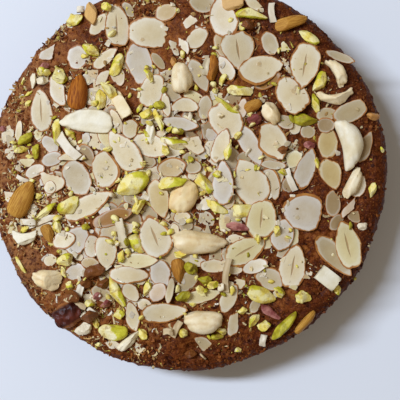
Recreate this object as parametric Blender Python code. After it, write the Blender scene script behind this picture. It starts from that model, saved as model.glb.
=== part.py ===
"""A round jaggery cake, baked in a tin and covered with almond slices, cashews, pistachios and a raisin.

Metres, +Z up. The origin is at the middle of the flat base, on the surface that the cake rests on.
Places on the top are given as they are seen from straight above, in a frame of 400 by 400 pixels.
"""

import collections
import math
import random

import bmesh
import bpy
import numpy as np
from mathutils import Matrix, Vector
from mathutils.bvhtree import BVHTree
from mathutils.geometry import convex_hull_2d

MM = 0.001

# The cake itself
CAKE_RADIUS = 101.0 * MM
RIM_HEIGHT = 40.0 * MM
DOME_RISE = 5.0 * MM
SHOULDER_WIDTH = 8.0 * MM
SHOULDER_DROP = 6.5 * MM
BASE_RADIUS_SHARE = 0.965
BASE_EDGE = 2.0 * MM
WALL_START = 1.5 * MM
WALL_MIDDLE_SHARE = 0.985
WALL_MIDDLE_LEVEL = 0.45
TOP_RING_SHARES = (0.12, 0.28, 0.44, 0.6, 0.76, 0.9, 1.0)
SHOULDER_ANGLES = (26, 50, 74)
OUT_OF_ROUND = 1.1 * MM
OUT_OF_ROUND_TURN = math.radians(26.0)
SURFACE_WAVE = 0.35 * MM
CAKE_SEGMENTS = 48

# The view from above: the cake's middle in it, and what one pixel measures on the top
MIDDLE_U = 188.5
MIDDLE_V = 174.5
PIXEL = 0.507 * MM

# Toppings. A slice longer than this many millimetres has more corners.
SLICE_THICKNESS = 1.1 * MM
LONG_PIECE = 15
LONG_CORNERS = 10
SHORT_CORNERS = 8
BLUNT_END = 0.5
SHARP_END = 0.55
POINTED_END = 0.82
PLAIN_EDGE = 0.04
RAGGED_EDGE = 0.16
SNAP_SHARE = 0.72
SNAP_UNEVEN = 0.1
HALF_SHARE = -0.35
HALF_UNEVEN = 0.12
SLIVER_HEIGHT = 4.0 * MM
SLIVER_LEAN = 0.3 * MM
LOWEST_SLIVER = 0.7
BIT_HEIGHT_SHARE = 0.55
WIDEST_HIGH_BIT = 6.0
BIT_UNEVEN = 0.12
SUNK = 0.3 * MM
NODE_GAP = 0.36 * MM
CLEAR_OF_NODES = 0.45 * MM
STEEPEST = 0.34
FLAT_ANGLE = math.radians(1.0)
BLUNT_ENDS = 0.62
NUT_ABOVE = 0.72
NUT_BELOW = 0.28
CELL = 0.8 * MM
BEYOND_CAKE = 12 * MM
LEAST_SCRAP = 3.0 * MM**3
CLEARANCE_FOOT = 10 * MM
CLEARANCE_HEIGHT = 80 * MM
RANDOM_SEED = 11

Piece = collections.namedtuple("Piece", "u v length width turn form")
Nut = collections.namedtuple("Nut", "u v length width turn height bend taper")

# Almond slices from the lowest layer to the highest: place in pixels, length and width in millimetres,
# turn of the pointed end in degrees, and the form of the outline.
SLICES = (
    Piece(203, 3, 15, 9, -10, "oval"),
    Piece(256, 4, 13, 6, -20, "ragged"),
    Piece(128, 9, 9, 5, -55, "oval"),
    Piece(166, 12, 12, 9, 20, "oval"),
    Piece(139, 62, 23, 14, 100, "tip"),
    Piece(152, 91, 18, 12, 65, "oval"),
    Piece(158, 61, 11, 5, -52, "oval"),
    Piece(199, 76, 19, 8, -63, "tip"),
    Piece(197, 38, 13.5, 9, 40, "oval"),
    Piece(183, 45, 11, 5, -70, "ragged"),
    Piece(222, 45, 15, 8, -75, "oval"),
    Piece(270, 43, 13, 8.5, -70, "oval"),
    Piece(226, 69, 14, 7, -58, "oval"),
    Piece(268, 81, 15, 7, 25, "oval"),
    Piece(285, 122, 9, 7, -30, "oval"),
    Piece(205, 107, 13, 7, 80, "oval"),
    Piece(242, 109, 11, 5, 78, "oval"),
    Piece(250, 145, 24, 10, -60, "tip"),
    Piece(193, 145, 13, 10, -30, "ragged"),
    Piece(193, 167, 9, 7, 0, "oval"),
    Piece(147, 161, 10, 7, -20, "oval"),
    Piece(270, 183, 17, 10, -75, "oval"),
    Piece(273, 165, 13, 4.5, -5, "oval"),
    Piece(327, 114, 11, 7, 10, "oval"),
    Piece(365, 147, 17, 7.5, 65, "tip"),
    Piece(333, 203, 14, 8, 90, "oval"),
    Piece(337, 222, 10, 6, 55, "oval"),
    Piece(355, 216, 9, 6.5, -35, "ragged"),
    Piece(334, 256, 26, 11, -48, "tip"),
    Piece(229, 200, 9, 6, 80, "oval"),
    Piece(77, 178, 19, 14.5, -60, "oval"),
    Piece(87, 155, 13, 7, -60, "oval"),
    Piece(50, 145, 11, 7, -50, "oval"),
    Piece(52, 159, 12, 7, 20, "oval"),
    Piece(18, 130, 11, 3.5, 85, "oval"),
    Piece(35, 171, 11, 6.5, 28, "oval"),
    Piece(159, 199, 20, 11, -75, "tip"),
    Piece(117, 230, 19, 10, 15, "oval"),
    Piece(114, 217, 22, 8, 20, "tip"),
    Piece(77, 240, 15, 13, 60, "oval"),
    Piece(92, 246, 12, 7.5, 85, "oval"),
    Piece(106, 253, 17, 11, -85, "tip"),
    Piece(75, 272, 11, 8, 30, "oval"),
    Piece(90, 263, 9, 6, 0, "oval"),
    Piece(130, 275, 21, 9, -3, "tip"),
    Piece(161, 274, 15, 11, -75, "oval"),
    Piece(175, 231, 9, 4.5, 88, "oval"),
    Piece(182, 217, 9, 6, 10, "oval"),
    Piece(214, 266, 14, 7, -5, "oval"),
    Piece(236, 284, 11, 7, 10, "ragged"),
    Piece(269, 279, 16, 11.5, -25, "oval"),
    Piece(103, 295, 14, 7, -30, "oval"),
    Piece(131, 292, 11, 7.5, -50, "oval"),
    Piece(158, 292, 11, 8, 60, "oval"),
    Piece(170, 290, 14, 4, 80, "oval"),
    Piece(229, 298, 16, 8, 65, "oval"),
    Piece(202, 296, 20, 7, 12, "tip"),
    Piece(102, 79, 13, 6, 45, "ragged"),
    Piece(112, 344, 9, 6, 0, "ragged"),
    Piece(99, 24, 13, 7, 51, "oval"),
    Piece(48, 52, 13, 6.5, 38, "ragged"),
    Piece(105, 58, 16, 6.5, 42, "tip"),
    Piece(77, 57, 12.5, 10.5, 95, "oval"),
    Piece(223, 17, 21, 14, 110, "tip"),
    Piece(238, 50, 21, 16.5, -82, "tip"),
    Piece(151, 146, 19, 12, -20, "oval"),
    Piece(185, 108, 14, 10, 0, "half"),
    Piece(180, 124, 19, 7, -12, "oval"),
    Piece(166, 105, 13, 4.5, 100, "oval"),
    Piece(172, 168, 15, 10, 12, "oval"),
    Piece(226, 121, 20, 16.5, -50, "oval"),
    Piece(250, 182, 25, 17, 115, "tip"),
    Piece(223, 182, 23, 10.5, 88, "tip"),
    Piece(328, 142, 17, 10.5, 82, "tip"),
    Piece(326, 125, 9, 8, 0, "oval"),
    Piece(331, 174, 17, 11, -72, "tip"),
    Piece(305, 169, 22.5, 10, 70, "tip"),
    Piece(341, 56, 16, 5, -17, "oval"),
    Piece(352, 111, 22, 10.5, 25, "snapped"),
    Piece(360, 186, 13, 7, 65, "ragged"),
    Piece(350, 208, 13, 6, 55, "ragged"),
    Piece(139, 261, 21, 8, 3, "tip"),
    Piece(245, 251, 23, 14, 30, "tip"),
    Piece(282, 235, 17, 12, 78, "oval"),
    Piece(255, 266, 13, 7, 20, "oval"),
    Piece(204, 345, 12, 6.5, -35, "ragged"),
    Piece(132, 316, 16, 7, 100, "tip"),
    Piece(139, 349, 9, 5.5, -35, "ragged"),
    Piece(234, 323, 17, 6, 80, "ragged"),
    Piece(57, 90, 17, 8, 112, "tip"),
    Piece(41, 110, 23, 11.5, 93, "tip"),
    Piece(51, 183, 16.5, 14.5, 70, "ragged"),
    Piece(72, 158, 14, 6.5, 0, "half"),
    Piece(117, 121, 14, 4.5, -62, "oval"),
    Piece(131, 129, 10, 8.5, 75, "oval"),
    Piece(117, 25, 23, 12.5, 94, "tip"),
    Piece(150, 33, 23, 16.5, -8, "snapped"),
    Piece(261, 69, 23, 15, 18, "tip"),
    Piece(293, 97, 23, 15.5, -50, "snapped"),
    Piece(305, 65, 24, 15.5, -100, "tip"),
    Piece(272, 142, 21, 15.5, -60, "tip"),
    Piece(125, 152, 26, 13, 125, "tip"),
    Piece(221, 146, 20, 8.5, 72, "tip"),
    Piece(261, 218, 21, 16, 85, "oval"),
    Piece(155, 236, 22, 16, 112, "tip"),
    Piece(348, 245, 25.5, 13.5, 105, "tip"),
    Piece(305, 212, 23, 19, -10, "snapped"),
    Piece(293, 266, 23, 14, 80, "tip"),
    Piece(164, 313, 24, 11, 6, "tip"),
    Piece(88, 206, 27, 11, 30, "tip"),
    Piece(64, 240, 12, 8.5, 15, "oval"),
    Piece(105, 169, 19, 15, 92, "tip"),
    Piece(42, 222, 18, 5, 22, "half"),
)

# Slices and strips that stand on their edge: place, length and thickness, turn
SLIVERS = (
    Piece(206, 67, 9, 3, 80, "strip"),
    Piece(272, 12, 10, 3, 95, "strip"),
    Piece(75, 303, 12, 3, -25, "strip"),
    Piece(176, 329, 9, 3, 62, "strip"),
    Piece(263, 341, 6, 3, 80, "strip"),
    Piece(22, 179, 6.5, 2, -25, "strip"),
    Piece(122, 233, 15, 4, -80, "strip"),
    Piece(68, 147, 16, 4.5, -50, "strip"),
    Piece(80, 289, 8, 3.5, 75, "strip"),
    Piece(93, 312, 6.5, 2.5, -35, "strip"),
    Piece(290, 180, 12, 3, -68, "strip"),
    Piece(226, 275, 17, 3, 85, "strip"),
    Piece(28, 222, 8, 3, 0, "strip"),
)

# Small pistachio pieces and nut chunks that are baked on
BITS = (
    Piece(66, 260, 9, 7, 20, "bit"),
    Piece(58, 75, 10, 7, -47, "bit"),
    Piece(73, 18, 10, 6.5, 33, "bit"),
    Piece(92, 49, 10, 6.5, -30, "bit"),
    Piece(82, 329, 9, 7, 0, "bit"),
    Piece(84, 316, 7, 6, 0, "bit"),
    Piece(255, 120, 7.5, 6, 0, "bit"),
    Piece(374, 116, 7, 4.5, 0, "bit"),
    Piece(107, 8, 7, 4.5, -40, "bit"),
    Piece(149, 75, 7.5, 4.5, -65, "bit"),
    Piece(101, 100, 11, 5.5, 85, "bit"),
    Piece(110, 92, 12, 6, -50, "bit"),
    Piece(147, 114, 7, 6, 0, "bit"),
    Piece(160, 122, 14, 4, -65, "bit"),
    Piece(228, 151, 10.5, 4.5, 80, "bit"),
    Piece(315, 103, 10, 5, -65, "bit"),
    Piece(373, 190, 8, 4, 70, "bit"),
    Piece(24, 138, 9, 6, 35, "bit"),
    Piece(35, 151, 8.5, 4.5, 80, "bit"),
    Piece(20, 150, 7, 4, 20, "bit"),
    Piece(47, 211, 13, 4.5, 38, "bit"),
    Piece(57, 226, 8, 4.5, -75, "bit"),
    Piece(20, 266, 11, 2.5, -58, "bit"),
    Piece(139, 206, 10, 5, 60, "bit"),
    Piece(192, 268, 8.5, 6.5, -30, "bit"),
    Piece(205, 281, 9, 6, -20, "bit"),
    Piece(201, 290, 8, 4, -45, "bit"),
    Piece(184, 297, 9, 6, 25, "bit"),
    Piece(216, 337, 8, 3, 3, "bit"),
    Piece(147, 289, 8, 4, 75, "bit"),
    Piece(143, 335, 7, 4.5, -60, "bit"),
    Piece(118, 315, 8, 5.5, 0, "bit"),
    Piece(254, 320, 9, 4.5, 55, "bit"),
    Piece(265, 326, 8, 6, 5, "bit"),
    Piece(280, 293, 8, 5, -45, "bit"),
    Piece(303, 298, 8, 7, 0, "bit"),
    Piece(237, 227, 11, 5.5, -12, "bit"),
    Piece(33, 79, 9, 4, 75, "bit"),
)

# Nuts that are pieces of their own: place, length, width, turn, height, sideways bend, narrowing to one end
CASHEWS = (
    Nut(86, 122, 27, 13, 178, 7.0, 1.5, 0.28),
    Nut(181, 78, 15.5, 11, 95, 7.0, 0.6, 0.12),
    Nut(337, 73, 16, 9, 118, 6.0, 3.2, 0.0),
    Nut(336, 96, 18, 10, 10, 6.0, 4.0, 0.1),
    Nut(348, 145, 26, 15, -80, 8.5, -4.2, 0.15),
    Nut(352, 183, 18, 8, 65, 5.0, 1.8, 0.0),
    Nut(200, 242, 26.5, 12.5, -3, 7.5, 0.8, 0.25),
    Nut(203, 320, 19.5, 14.5, -5, 8.0, 2.6, 0.0),
    Nut(47, 279, 16, 11.5, 172, 7.0, -1.0, 0.2),
    Nut(24, 236, 13, 10, 0, 5.0, 3.6, 0.0),
    Nut(328, 278, 15, 12, -38, 8.0, 0.0, 0.05),
    Nut(122, 107, 15, 9, 120, 6.5, 0.6, 0.0),
    Nut(183, 196, 17, 14, 60, 5.5, 0.8, 0.0),
    Nut(271, 113, 11.5, 8.5, -60, 6.0, 0.4, 0.1),
    Nut(129, 341, 15, 5.5, 42, 4.0, 0.6, 0.0),
    Nut(150, 133, 12, 5.5, 88, 4.5, 0.2, 0.2),
)
ALMONDS = (
    Nut(78, 92, 18, 10, 83, 5.0, 0.0, 0.2),
    Nut(22, 199, 20, 11, 62, 5.0, 0.0, 0.2),
    Nut(291, 22, 17.5, 7.5, 16, 4.5, 0.4, 0.15),
    Nut(213, 68, 13.5, 7, 88, 4.5, 0.0, 0.2),
    Nut(253, 106, 9.5, 6, 28, 4.0, 0.0, 0.1),
    Nut(179, 271, 13, 7, -80, 4.5, 0.0, 0.2),
    Nut(233, 2, 11, 9, 0, 5.0, 0.0, 0.1),
    Nut(90, 13, 13, 7, 88, 5.0, 0.4, 0.1),
    Nut(306, 323, 15, 5, 50, 4.0, 0.4, 0.1),
    Nut(48, 234, 10, 6, -70, 4.0, 0.0, 0.3),
)
PISTACHIOS = (
    Nut(133, 184, 18, 11, 28, 6.0, 0.0, 0.1),
    Nut(252, 14, 16.5, 6.5, -5, 5.0, -1.2, 0.0),
    Nut(240, 91, 14, 6, -8, 4.5, 0.6, 0.0),
    Nut(174, 144, 14.5, 6.5, -10, 4.5, 0.6, 0.0),
    Nut(69, 205, 12.5, 8.5, 50, 4.5, 0.0, 0.2),
    Nut(138, 243, 12, 7.5, -50, 5.0, 0.0, 0.1),
    Nut(203, 182, 13.5, 8.5, -50, 5.0, 0.5, 0.0),
    Nut(217, 206, 13, 6.5, -35, 4.5, 1.4, 0.15),
    Nut(241, 210, 12, 8.5, 15, 5.0, 0.0, 0.0),
    Nut(262, 295, 15, 9, -20, 5.5, 0.6, 0.1),
    Nut(284, 326, 19, 6, 47, 4.5, 0.8, 0.1),
    Nut(271, 313, 12, 5, -35, 4.5, 0.5, 0.1),
    Nut(116, 292, 17, 7, -60, 4.5, 0.6, 0.1),
    Nut(113, 332, 15, 9, -5, 5.0, 1.0, 0.0),
    Nut(306, 120, 13, 7, -5, 5.0, 0.4, 0.1),
    Nut(320, 82, 12, 6, 68, 4.5, 0.5, 0.1),
    Nut(57, 132, 14, 4.5, -86, 4.0, 0.5, 0.0),
    Nut(309, 36, 12, 5.5, -38, 4.0, 0.5, 0.0),
    Nut(226, 105, 16, 4.5, -33, 4.0, 0.4, 0.0),
    Nut(117, 65, 12, 6, 68, 4.0, 0.4, 0.0),
    Nut(173, 183, 15, 7, 10, 4.5, 0.4, 0.3),
)
RAISINS = (Nut(67, 315, 15, 13, 30, 5.5, 0.0, 0.0),)


def clear_scene():
    for obj in list(bpy.data.objects):
        bpy.data.objects.remove(obj, do_unlink=True)


def principled(name, colour, roughness, metallic=0.0):
    material = bpy.data.materials.new(name)
    material.use_nodes = True
    shader = material.node_tree.nodes["Principled BSDF"]
    shader.inputs["Base Color"].default_value = (*colour, 1.0)
    shader.inputs["Roughness"].default_value = roughness
    shader.inputs["Metallic"].default_value = metallic
    return material


def crust_material():
    return principled("crust", (0.16, 0.062, 0.025), 0.62)


def cashew_material():
    return principled("cashew", (0.78, 0.62, 0.41), 0.5)


def almond_material():
    return principled("almond", (0.38, 0.16, 0.05), 0.6)


def pistachio_material():
    return principled("pistachio", (0.42, 0.36, 0.07), 0.55)


def raisin_material():
    return principled("raisin", (0.07, 0.02, 0.012), 0.35)


def on_top(u, v):
    """Metres from the cake's middle for a place in the view from above."""
    return (u - MIDDLE_U) * PIXEL, (MIDDLE_V - v) * PIXEL


def outline_radius(azimuth):
    """The cake isn't quite round: it is a little longer one way, with a few low waves."""
    waves = 0.5 * np.sin(3 * azimuth + 1.0) + 0.35 * np.sin(7 * azimuth) + 0.3 * np.sin(13 * azimuth + 2.0)
    return CAKE_RADIUS + OUT_OF_ROUND * np.cos(2 * (azimuth - OUT_OF_ROUND_TURN)) + waves * MM


def surface_wave(x, y):
    """Low unevenness of the baked top."""
    wave = np.sin(x / (9 * MM) + 0.4) * np.cos(y / (11 * MM)) + 0.6 * np.sin((x + y) / (8 * MM))
    return SURFACE_WAVE * wave


def top_height(x, y):
    """Height of the bare cake's top, falling away over the rounded shoulder."""
    radius = outline_radius(np.arctan2(y, x))
    inward = radius - np.hypot(x, y)
    share = np.clip(1 - inward / SHOULDER_WIDTH, 0, 1)
    dome = RIM_HEIGHT + DOME_RISE * (1 - (np.hypot(x, y) / radius) ** 2)
    height = dome - SHOULDER_DROP * (1 - np.sqrt(np.clip(1 - share**2, 0, 1)))
    return np.where(inward > 0, height + surface_wave(x, y) * (1 - share), 0.0)


def finish(bm, name, material, smooth=True):
    bmesh.ops.recalc_face_normals(bm, faces=bm.faces)
    mesh = bpy.data.meshes.new(name)
    bm.to_mesh(mesh)
    bm.free()
    mesh.materials.append(material)
    if smooth:
        mesh.shade_smooth()
        mesh.set_sharp_from_angle(angle=math.radians(40))
    obj = bpy.data.objects.new(name, mesh)
    bpy.context.scene.collection.objects.link(obj)
    return obj


def cake_core():
    """A turned profile, from the middle of the top round the shoulder to the base, then made uneven."""
    on_the_top = 1.0
    rings = [share * (CAKE_RADIUS - SHOULDER_WIDTH) for share in TOP_RING_SHARES]
    shoulder = [CAKE_RADIUS - SHOULDER_WIDTH * (1 - math.sin(math.radians(t))) for t in SHOULDER_ANGLES]
    side_top = RIM_HEIGHT - SHOULDER_DROP
    wall = [(1.0, side_top - WALL_START), (WALL_MIDDLE_SHARE, WALL_MIDDLE_LEVEL * side_top)]
    wall += [(BASE_RADIUS_SHARE, BASE_EDGE), (BASE_RADIUS_SHARE - BASE_EDGE / CAKE_RADIUS, 0.0)]
    points = [(r, on_the_top) for r in [0.0, *rings, *shoulder]]
    points += [(share * CAKE_RADIUS, z) for share, z in wall]
    bm = bmesh.new()
    profile = [bm.verts.new((r, 0, z)) for r, z in points + [(0.0, 0.0)]]
    edges = [bm.edges.new(pair) for pair in zip(profile, profile[1:])]
    bmesh.ops.spin(bm, geom=profile + edges, cent=(0, 0, 0), axis=(0, 0, 1), angle=math.tau,
                   steps=CAKE_SEGMENTS, use_merge=True, use_duplicate=False)
    bmesh.ops.remove_doubles(bm, verts=bm.verts, dist=0.01 * MM)
    for vert in bm.verts:
        x, y, z = vert.co
        out = math.hypot(x, y)
        if z == on_the_top:
            # This ring or point lies on the top, which the height function gives.
            grown = float(outline_radius(math.atan2(y, x))) / CAKE_RADIUS if out else 1.0
            vert.co = (x * grown, y * grown, float(top_height(x * grown, y * grown)))
        elif out:
            grown = float(outline_radius(math.atan2(y, x))) / CAKE_RADIUS
            vert.co = (x * grown, y * grown, z)
    return bm


def slice_outline(piece, draw, corners):
    """An almond slice seen flat: round at one end, pointed at the other, with any broken edge it has."""
    blunt, sharp = BLUNT_END, POINTED_END if piece.form == "tip" else SHARP_END
    widest = (blunt - sharp) / (blunt + sharp)
    most = (1 + widest) ** blunt * (1 - widest) ** sharp
    points = []
    for i in range(corners):
        angle = math.tau * (i + 0.5) / corners
        along = math.cos(angle)
        across = math.copysign((1 + along) ** blunt * (1 - along) ** sharp / most, math.sin(angle))
        rough = 1 + draw.uniform(-1, 1) * (RAGGED_EDGE if piece.form == "ragged" else PLAIN_EDGE)
        x, y = along * rough, across * rough
        if piece.form == "snapped":
            x = min(x, SNAP_SHARE + draw.uniform(-SNAP_UNEVEN, SNAP_UNEVEN))
        if piece.form == "half":
            y = max(y, HALF_SHARE + draw.uniform(-HALF_UNEVEN, HALF_UNEVEN))
        points.append((x * piece.length * MM / 2, y * piece.width * MM / 2))
    return points


def slice_mesh(piece, draw):
    bm = bmesh.new()
    corners = LONG_CORNERS if piece.length > LONG_PIECE else SHORT_CORNERS
    verts = [bm.verts.new((x, y, 0)) for x, y in slice_outline(piece, draw, corners)]
    face = bm.faces.new(verts)
    raised = bmesh.ops.extrude_face_region(bm, geom=[face])["geom"]
    upper = [v for v in raised if isinstance(v, bmesh.types.BMVert)]
    bmesh.ops.translate(bm, vec=(0, 0, SLICE_THICKNESS), verts=upper)
    bmesh.ops.recalc_face_normals(bm, faces=bm.faces)
    return bm


def sliver_mesh(piece, draw):
    """A strip that stands on its edge, a little lower at its ends."""
    bm = bmesh.new()
    bmesh.ops.create_cube(bm, size=1.0)
    for vert in bm.verts:
        lean = draw.uniform(-SLIVER_LEAN, SLIVER_LEAN)
        high = (SLIVER_HEIGHT * draw.uniform(LOWEST_SLIVER, 1.0)) if vert.co.z > 0 else 0.0
        vert.co = (vert.co.x * piece.length * MM, vert.co.y * piece.width * MM + lean, high)
    return bm


def bit_mesh(piece, draw):
    """A small blunt chunk of nut."""
    bm = bmesh.new()
    bmesh.ops.create_uvsphere(bm, u_segments=5, v_segments=3, radius=1.0)
    high = BIT_HEIGHT_SHARE * min(piece.width, WIDEST_HIGH_BIT) * MM
    for vert in bm.verts:
        half = (1 + draw.uniform(-BIT_UNEVEN, BIT_UNEVEN)) * MM / 2
        up = vert.co.z if vert.co.z > 0 else 0.5 * vert.co.z
        vert.co = (vert.co.x * piece.length * half, vert.co.y * piece.width * half, up * high)
    return bm


def nut_mesh(nut, sides, stations):
    """A nut half lying on its flatter side: a spindle along X, bent sideways and narrower at one end."""
    bm = bmesh.new()
    bmesh.ops.create_uvsphere(bm, u_segments=sides, v_segments=stations, radius=1.0)
    body = nut.width - abs(nut.bend)
    for vert in bm.verts:
        round_y, round_z, along = vert.co
        out = math.hypot(round_y, round_z)
        fuller_ends = out ** (BLUNT_ENDS - 1) if out > 0.01 else 1.0
        round_y *= fuller_ends
        round_z *= fuller_ends
        narrow = 1 - nut.taper * along
        y = round_y * narrow * body / 2 + nut.bend * (along**2 - 0.5)
        z = round_z * narrow * nut.height * (NUT_ABOVE if round_z > 0 else NUT_BELOW)
        vert.co = (along * nut.length * MM / 2, y * MM, z * MM)
    bmesh.ops.recalc_face_normals(bm, faces=bm.faces)
    return bm


class Ground:
    """Height of everything laid so far, on square cells seen from above."""

    def __init__(self):
        reach = CAKE_RADIUS + BEYOND_CAKE
        self.line = np.arange(-reach, reach, CELL)
        self.x, self.y = np.meshgrid(self.line, self.line)
        self.height = top_height(self.x, self.y)

    def seen(self, bm, upwards):
        """Cells under the piece, and the height at which a look up or down meets it."""
        tree = BVHTree.FromBMesh(bm)
        low = Vector([min(v.co[k] for v in bm.verts) for k in range(3)])
        high = Vector([max(v.co[k] for v in bm.verts) for k in range(3)])
        first = [int(np.searchsorted(self.line, low[k])) for k in range(2)]
        last = [int(np.searchsorted(self.line, high[k])) for k in range(2)]
        start, way = (low.z - MM, 1.0) if upwards else (high.z + MM, -1.0)
        rows, columns, met = [], [], []
        for row in range(first[1], last[1]):
            for column in range(first[0], last[0]):
                hit = tree.ray_cast(Vector((self.line[column], self.line[row], start)), Vector((0, 0, way)))[0]
                if hit is not None:
                    rows.append(row)
                    columns.append(column)
                    met.append(hit.z)
        return np.array(rows, int), np.array(columns, int), np.array(met)

    def settle(self, bm, at, turn, gap):
        """Turns the piece, moves it over its place and lowers it until three points of it are held up."""
        turned = Matrix.Rotation(math.radians(turn), 3, "Z")
        bmesh.ops.rotate(bm, verts=bm.verts, cent=(0, 0, 0), matrix=turned)
        bmesh.ops.translate(bm, verts=bm.verts, vec=(at[0], at[1], 0))
        rows, columns, under = self.seen(bm, upwards=True)
        if not len(rows):
            return False
        dx = self.x[rows, columns] - at[0]
        dy = self.y[rows, columns] - at[1]
        lift, slope_x, slope_y = resting_plane(dx, dy, self.height[rows, columns] + gap - under)
        for vert in bm.verts:
            vert.co.z += lift + slope_x * (vert.co.x - at[0]) + slope_y * (vert.co.y - at[1])
        return True

    def cover(self, bm):
        rows, columns, top = self.seen(bm, upwards=False)
        self.height[rows, columns] = np.maximum(self.height[rows, columns], top)


def holds_middle(a, b, c):
    """Whether the triangle of these three points, seen from above, has the middle inside."""
    sides = [p[0] * q[1] - p[1] * q[0] for p, q in ((a, b), (b, c), (c, a))]
    return all(s >= 0 for s in sides) or all(s <= 0 for s in sides)


def resting_plane(dx, dy, needed):
    """The plane that is lowest at the middle while no needed height pokes through it."""
    far = 200 * MM
    deep = float(needed.min()) - far
    held = [np.array((far * math.cos(t), far * math.sin(t), deep)) for t in (0.3, 2.4, 4.5)]
    points = np.stack([dx, dy, needed], axis=1)
    for _ in range(60):
        across = np.stack([np.ones(3), [p[0] for p in held], [p[1] for p in held]], axis=1)
        plane = np.linalg.solve(across, np.array([p[2] for p in held]))
        over = needed - (plane[0] + plane[1] * dx + plane[2] * dy)
        worst = int(np.argmax(over))
        if over[worst] < 0.001 * MM:
            break
        new = points[worst]
        for k in range(3):
            others = [held[j] for j in range(3) if j != k]
            if holds_middle(new, *others):
                held[k] = new
                break
        else:
            break
    slope = plane[1:]
    steep = float(np.hypot(*slope))
    if steep > STEEPEST:
        slope = slope * STEEPEST / steep
    lift = float((needed - slope[0] * dx - slope[1] * dy).max())
    return lift, float(slope[0]), float(slope[1])


def cutter_of(obj):
    """An upright block round a nut's outline seen from above, a little larger all round."""
    flat = [(v.co.x, v.co.y) for v in obj.data.vertices]
    hull = [flat[i] for i in convex_hull_2d([Vector(p) for p in flat])]
    middle = np.mean(hull, axis=0)
    bm = bmesh.new()
    verts = []
    for x, y in hull:
        away = Vector((x - middle[0], y - middle[1]))
        away += away.normalized() * CLEAR_OF_NODES
        verts.append(bm.verts.new((middle[0] + away.x, middle[1] + away.y, CLEARANCE_FOOT)))
    raised = bmesh.ops.extrude_face_region(bm, geom=[bm.faces.new(verts)])["geom"]
    upper = [v for v in raised if isinstance(v, bmesh.types.BMVert)]
    bmesh.ops.translate(bm, vec=(0, 0, CLEARANCE_HEIGHT), verts=upper)
    cutter = finish(bm, "clearance_" + obj.name, obj.data.materials[0], smooth=False)
    cutter.hide_render = True
    cutter.display_type = "WIRE"
    return cutter


def near(obj, other):
    """Whether the boxes of two objects meet, seen from above."""
    for k in range(2):
        mine = [v.co[k] for v in obj.data.vertices]
        theirs = [v.co[k] for v in other.data.vertices]
        if max(mine) < min(theirs) or max(theirs) < min(mine):
            return False
    return True


def apply_modifiers(obj):
    graph = bpy.context.evaluated_depsgraph_get()
    mesh = bpy.data.meshes.new_from_object(obj.evaluated_get(graph))
    old = obj.data
    obj.modifiers.clear()
    obj.data = mesh
    bpy.data.meshes.remove(old)


def keep_bodies(obj, least_volume, only_largest=False):
    """Drops loose scraps and the shells of sealed hollows, and returns how many bodies are left."""
    bm = bmesh.new()
    bm.from_mesh(obj.data)
    left = set(bm.faces)
    bodies = []
    while left:
        queue = [left.pop()]
        body = list(queue)
        while queue:
            face = queue.pop()
            for edge in face.edges:
                for other in edge.link_faces:
                    if other in left:
                        left.remove(other)
                        queue.append(other)
                        body.append(other)
        volume = sum(f.calc_center_median().dot(f.normal) * f.calc_area() for f in body) / 3
        bodies.append((volume, body))
    bodies.sort(key=lambda pair: -pair[0])
    kept = bodies[:1] if only_largest else [pair for pair in bodies if pair[0] > least_volume]
    drop = [face for pair in bodies if pair not in kept for face in pair[1]]
    bmesh.ops.delete(bm, geom=drop, context="FACES")
    bm.to_mesh(obj.data)
    bm.free()
    return len(kept)


def boolean(obj, operation, other=None, collection=None, solver="EXACT"):
    modifier = obj.modifiers.new("join", "BOOLEAN")
    modifier.operation = operation
    modifier.solver = solver
    if collection:
        modifier.operand_type = "COLLECTION"
        modifier.collection = collection
    else:
        modifier.object = other
    apply_modifiers(obj)


def fuse(core, pieces, cutters):
    """Cuts each baked-on piece clear of the nuts that lie loose, and joins what is left to the cake."""
    scatter = bpy.data.collections.new("baked_on")
    bpy.context.scene.collection.children.link(scatter)
    for piece in pieces:
        for cutter in cutters:
            if near(piece, cutter):
                boolean(piece, "DIFFERENCE", other=cutter)
        if not piece.data.polygons or not keep_bodies(piece, LEAST_SCRAP):
            bpy.data.objects.remove(piece)
            continue
        bpy.context.scene.collection.objects.unlink(piece)
        scatter.objects.link(piece)
    boolean(core, "UNION", collection=scatter, solver="MANIFOLD")
    for piece in list(scatter.objects):
        bpy.data.objects.remove(piece)
    bpy.data.collections.remove(scatter)
    keep_bodies(core, 0.0, only_largest=True)
    merge_flat_faces(core)


def merge_flat_faces(obj):
    """Joins the fragments that a union leaves of one flat face, so that it takes few triangles again."""
    bm = bmesh.new()
    bm.from_mesh(obj.data)
    bmesh.ops.dissolve_degenerate(bm, dist=0.02 * MM, edges=bm.edges)
    bmesh.ops.dissolve_limit(bm, angle_limit=FLAT_ANGLE, verts=bm.verts, edges=bm.edges,
                             use_dissolve_boundaries=False)
    bmesh.ops.triangulate(bm, faces=bm.faces)
    bm.to_mesh(obj.data)
    bm.free()


def add_nuts(kind, nuts, material, ground, sides, stations):
    made = []
    for number, nut in enumerate(nuts, 1):
        fewer = 1 if nut.length < LONG_PIECE else 0
        bm = nut_mesh(nut, sides - fewer, stations - fewer)
        ground.settle(bm, on_top(nut.u, nut.v), nut.turn, NODE_GAP)
        ground.cover(bm)
        made.append(finish(bm, f"{kind}_{number:02d}", material))
    return made


def add_baked_on(material, ground):
    draw = random.Random(RANDOM_SEED)
    made = []
    makers = ((SLICES, slice_mesh, "slice"), (SLIVERS, sliver_mesh, "sliver"), (BITS, bit_mesh, "bit"))
    for pieces, maker, kind in makers:
        for number, piece in enumerate(pieces, 1):
            bm = maker(piece, draw)
            if ground.settle(bm, on_top(piece.u, piece.v), piece.turn, -SUNK):
                ground.cover(bm)
                made.append(finish(bm, f"{kind}_{number:03d}", material, smooth=False))
    return made


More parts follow.
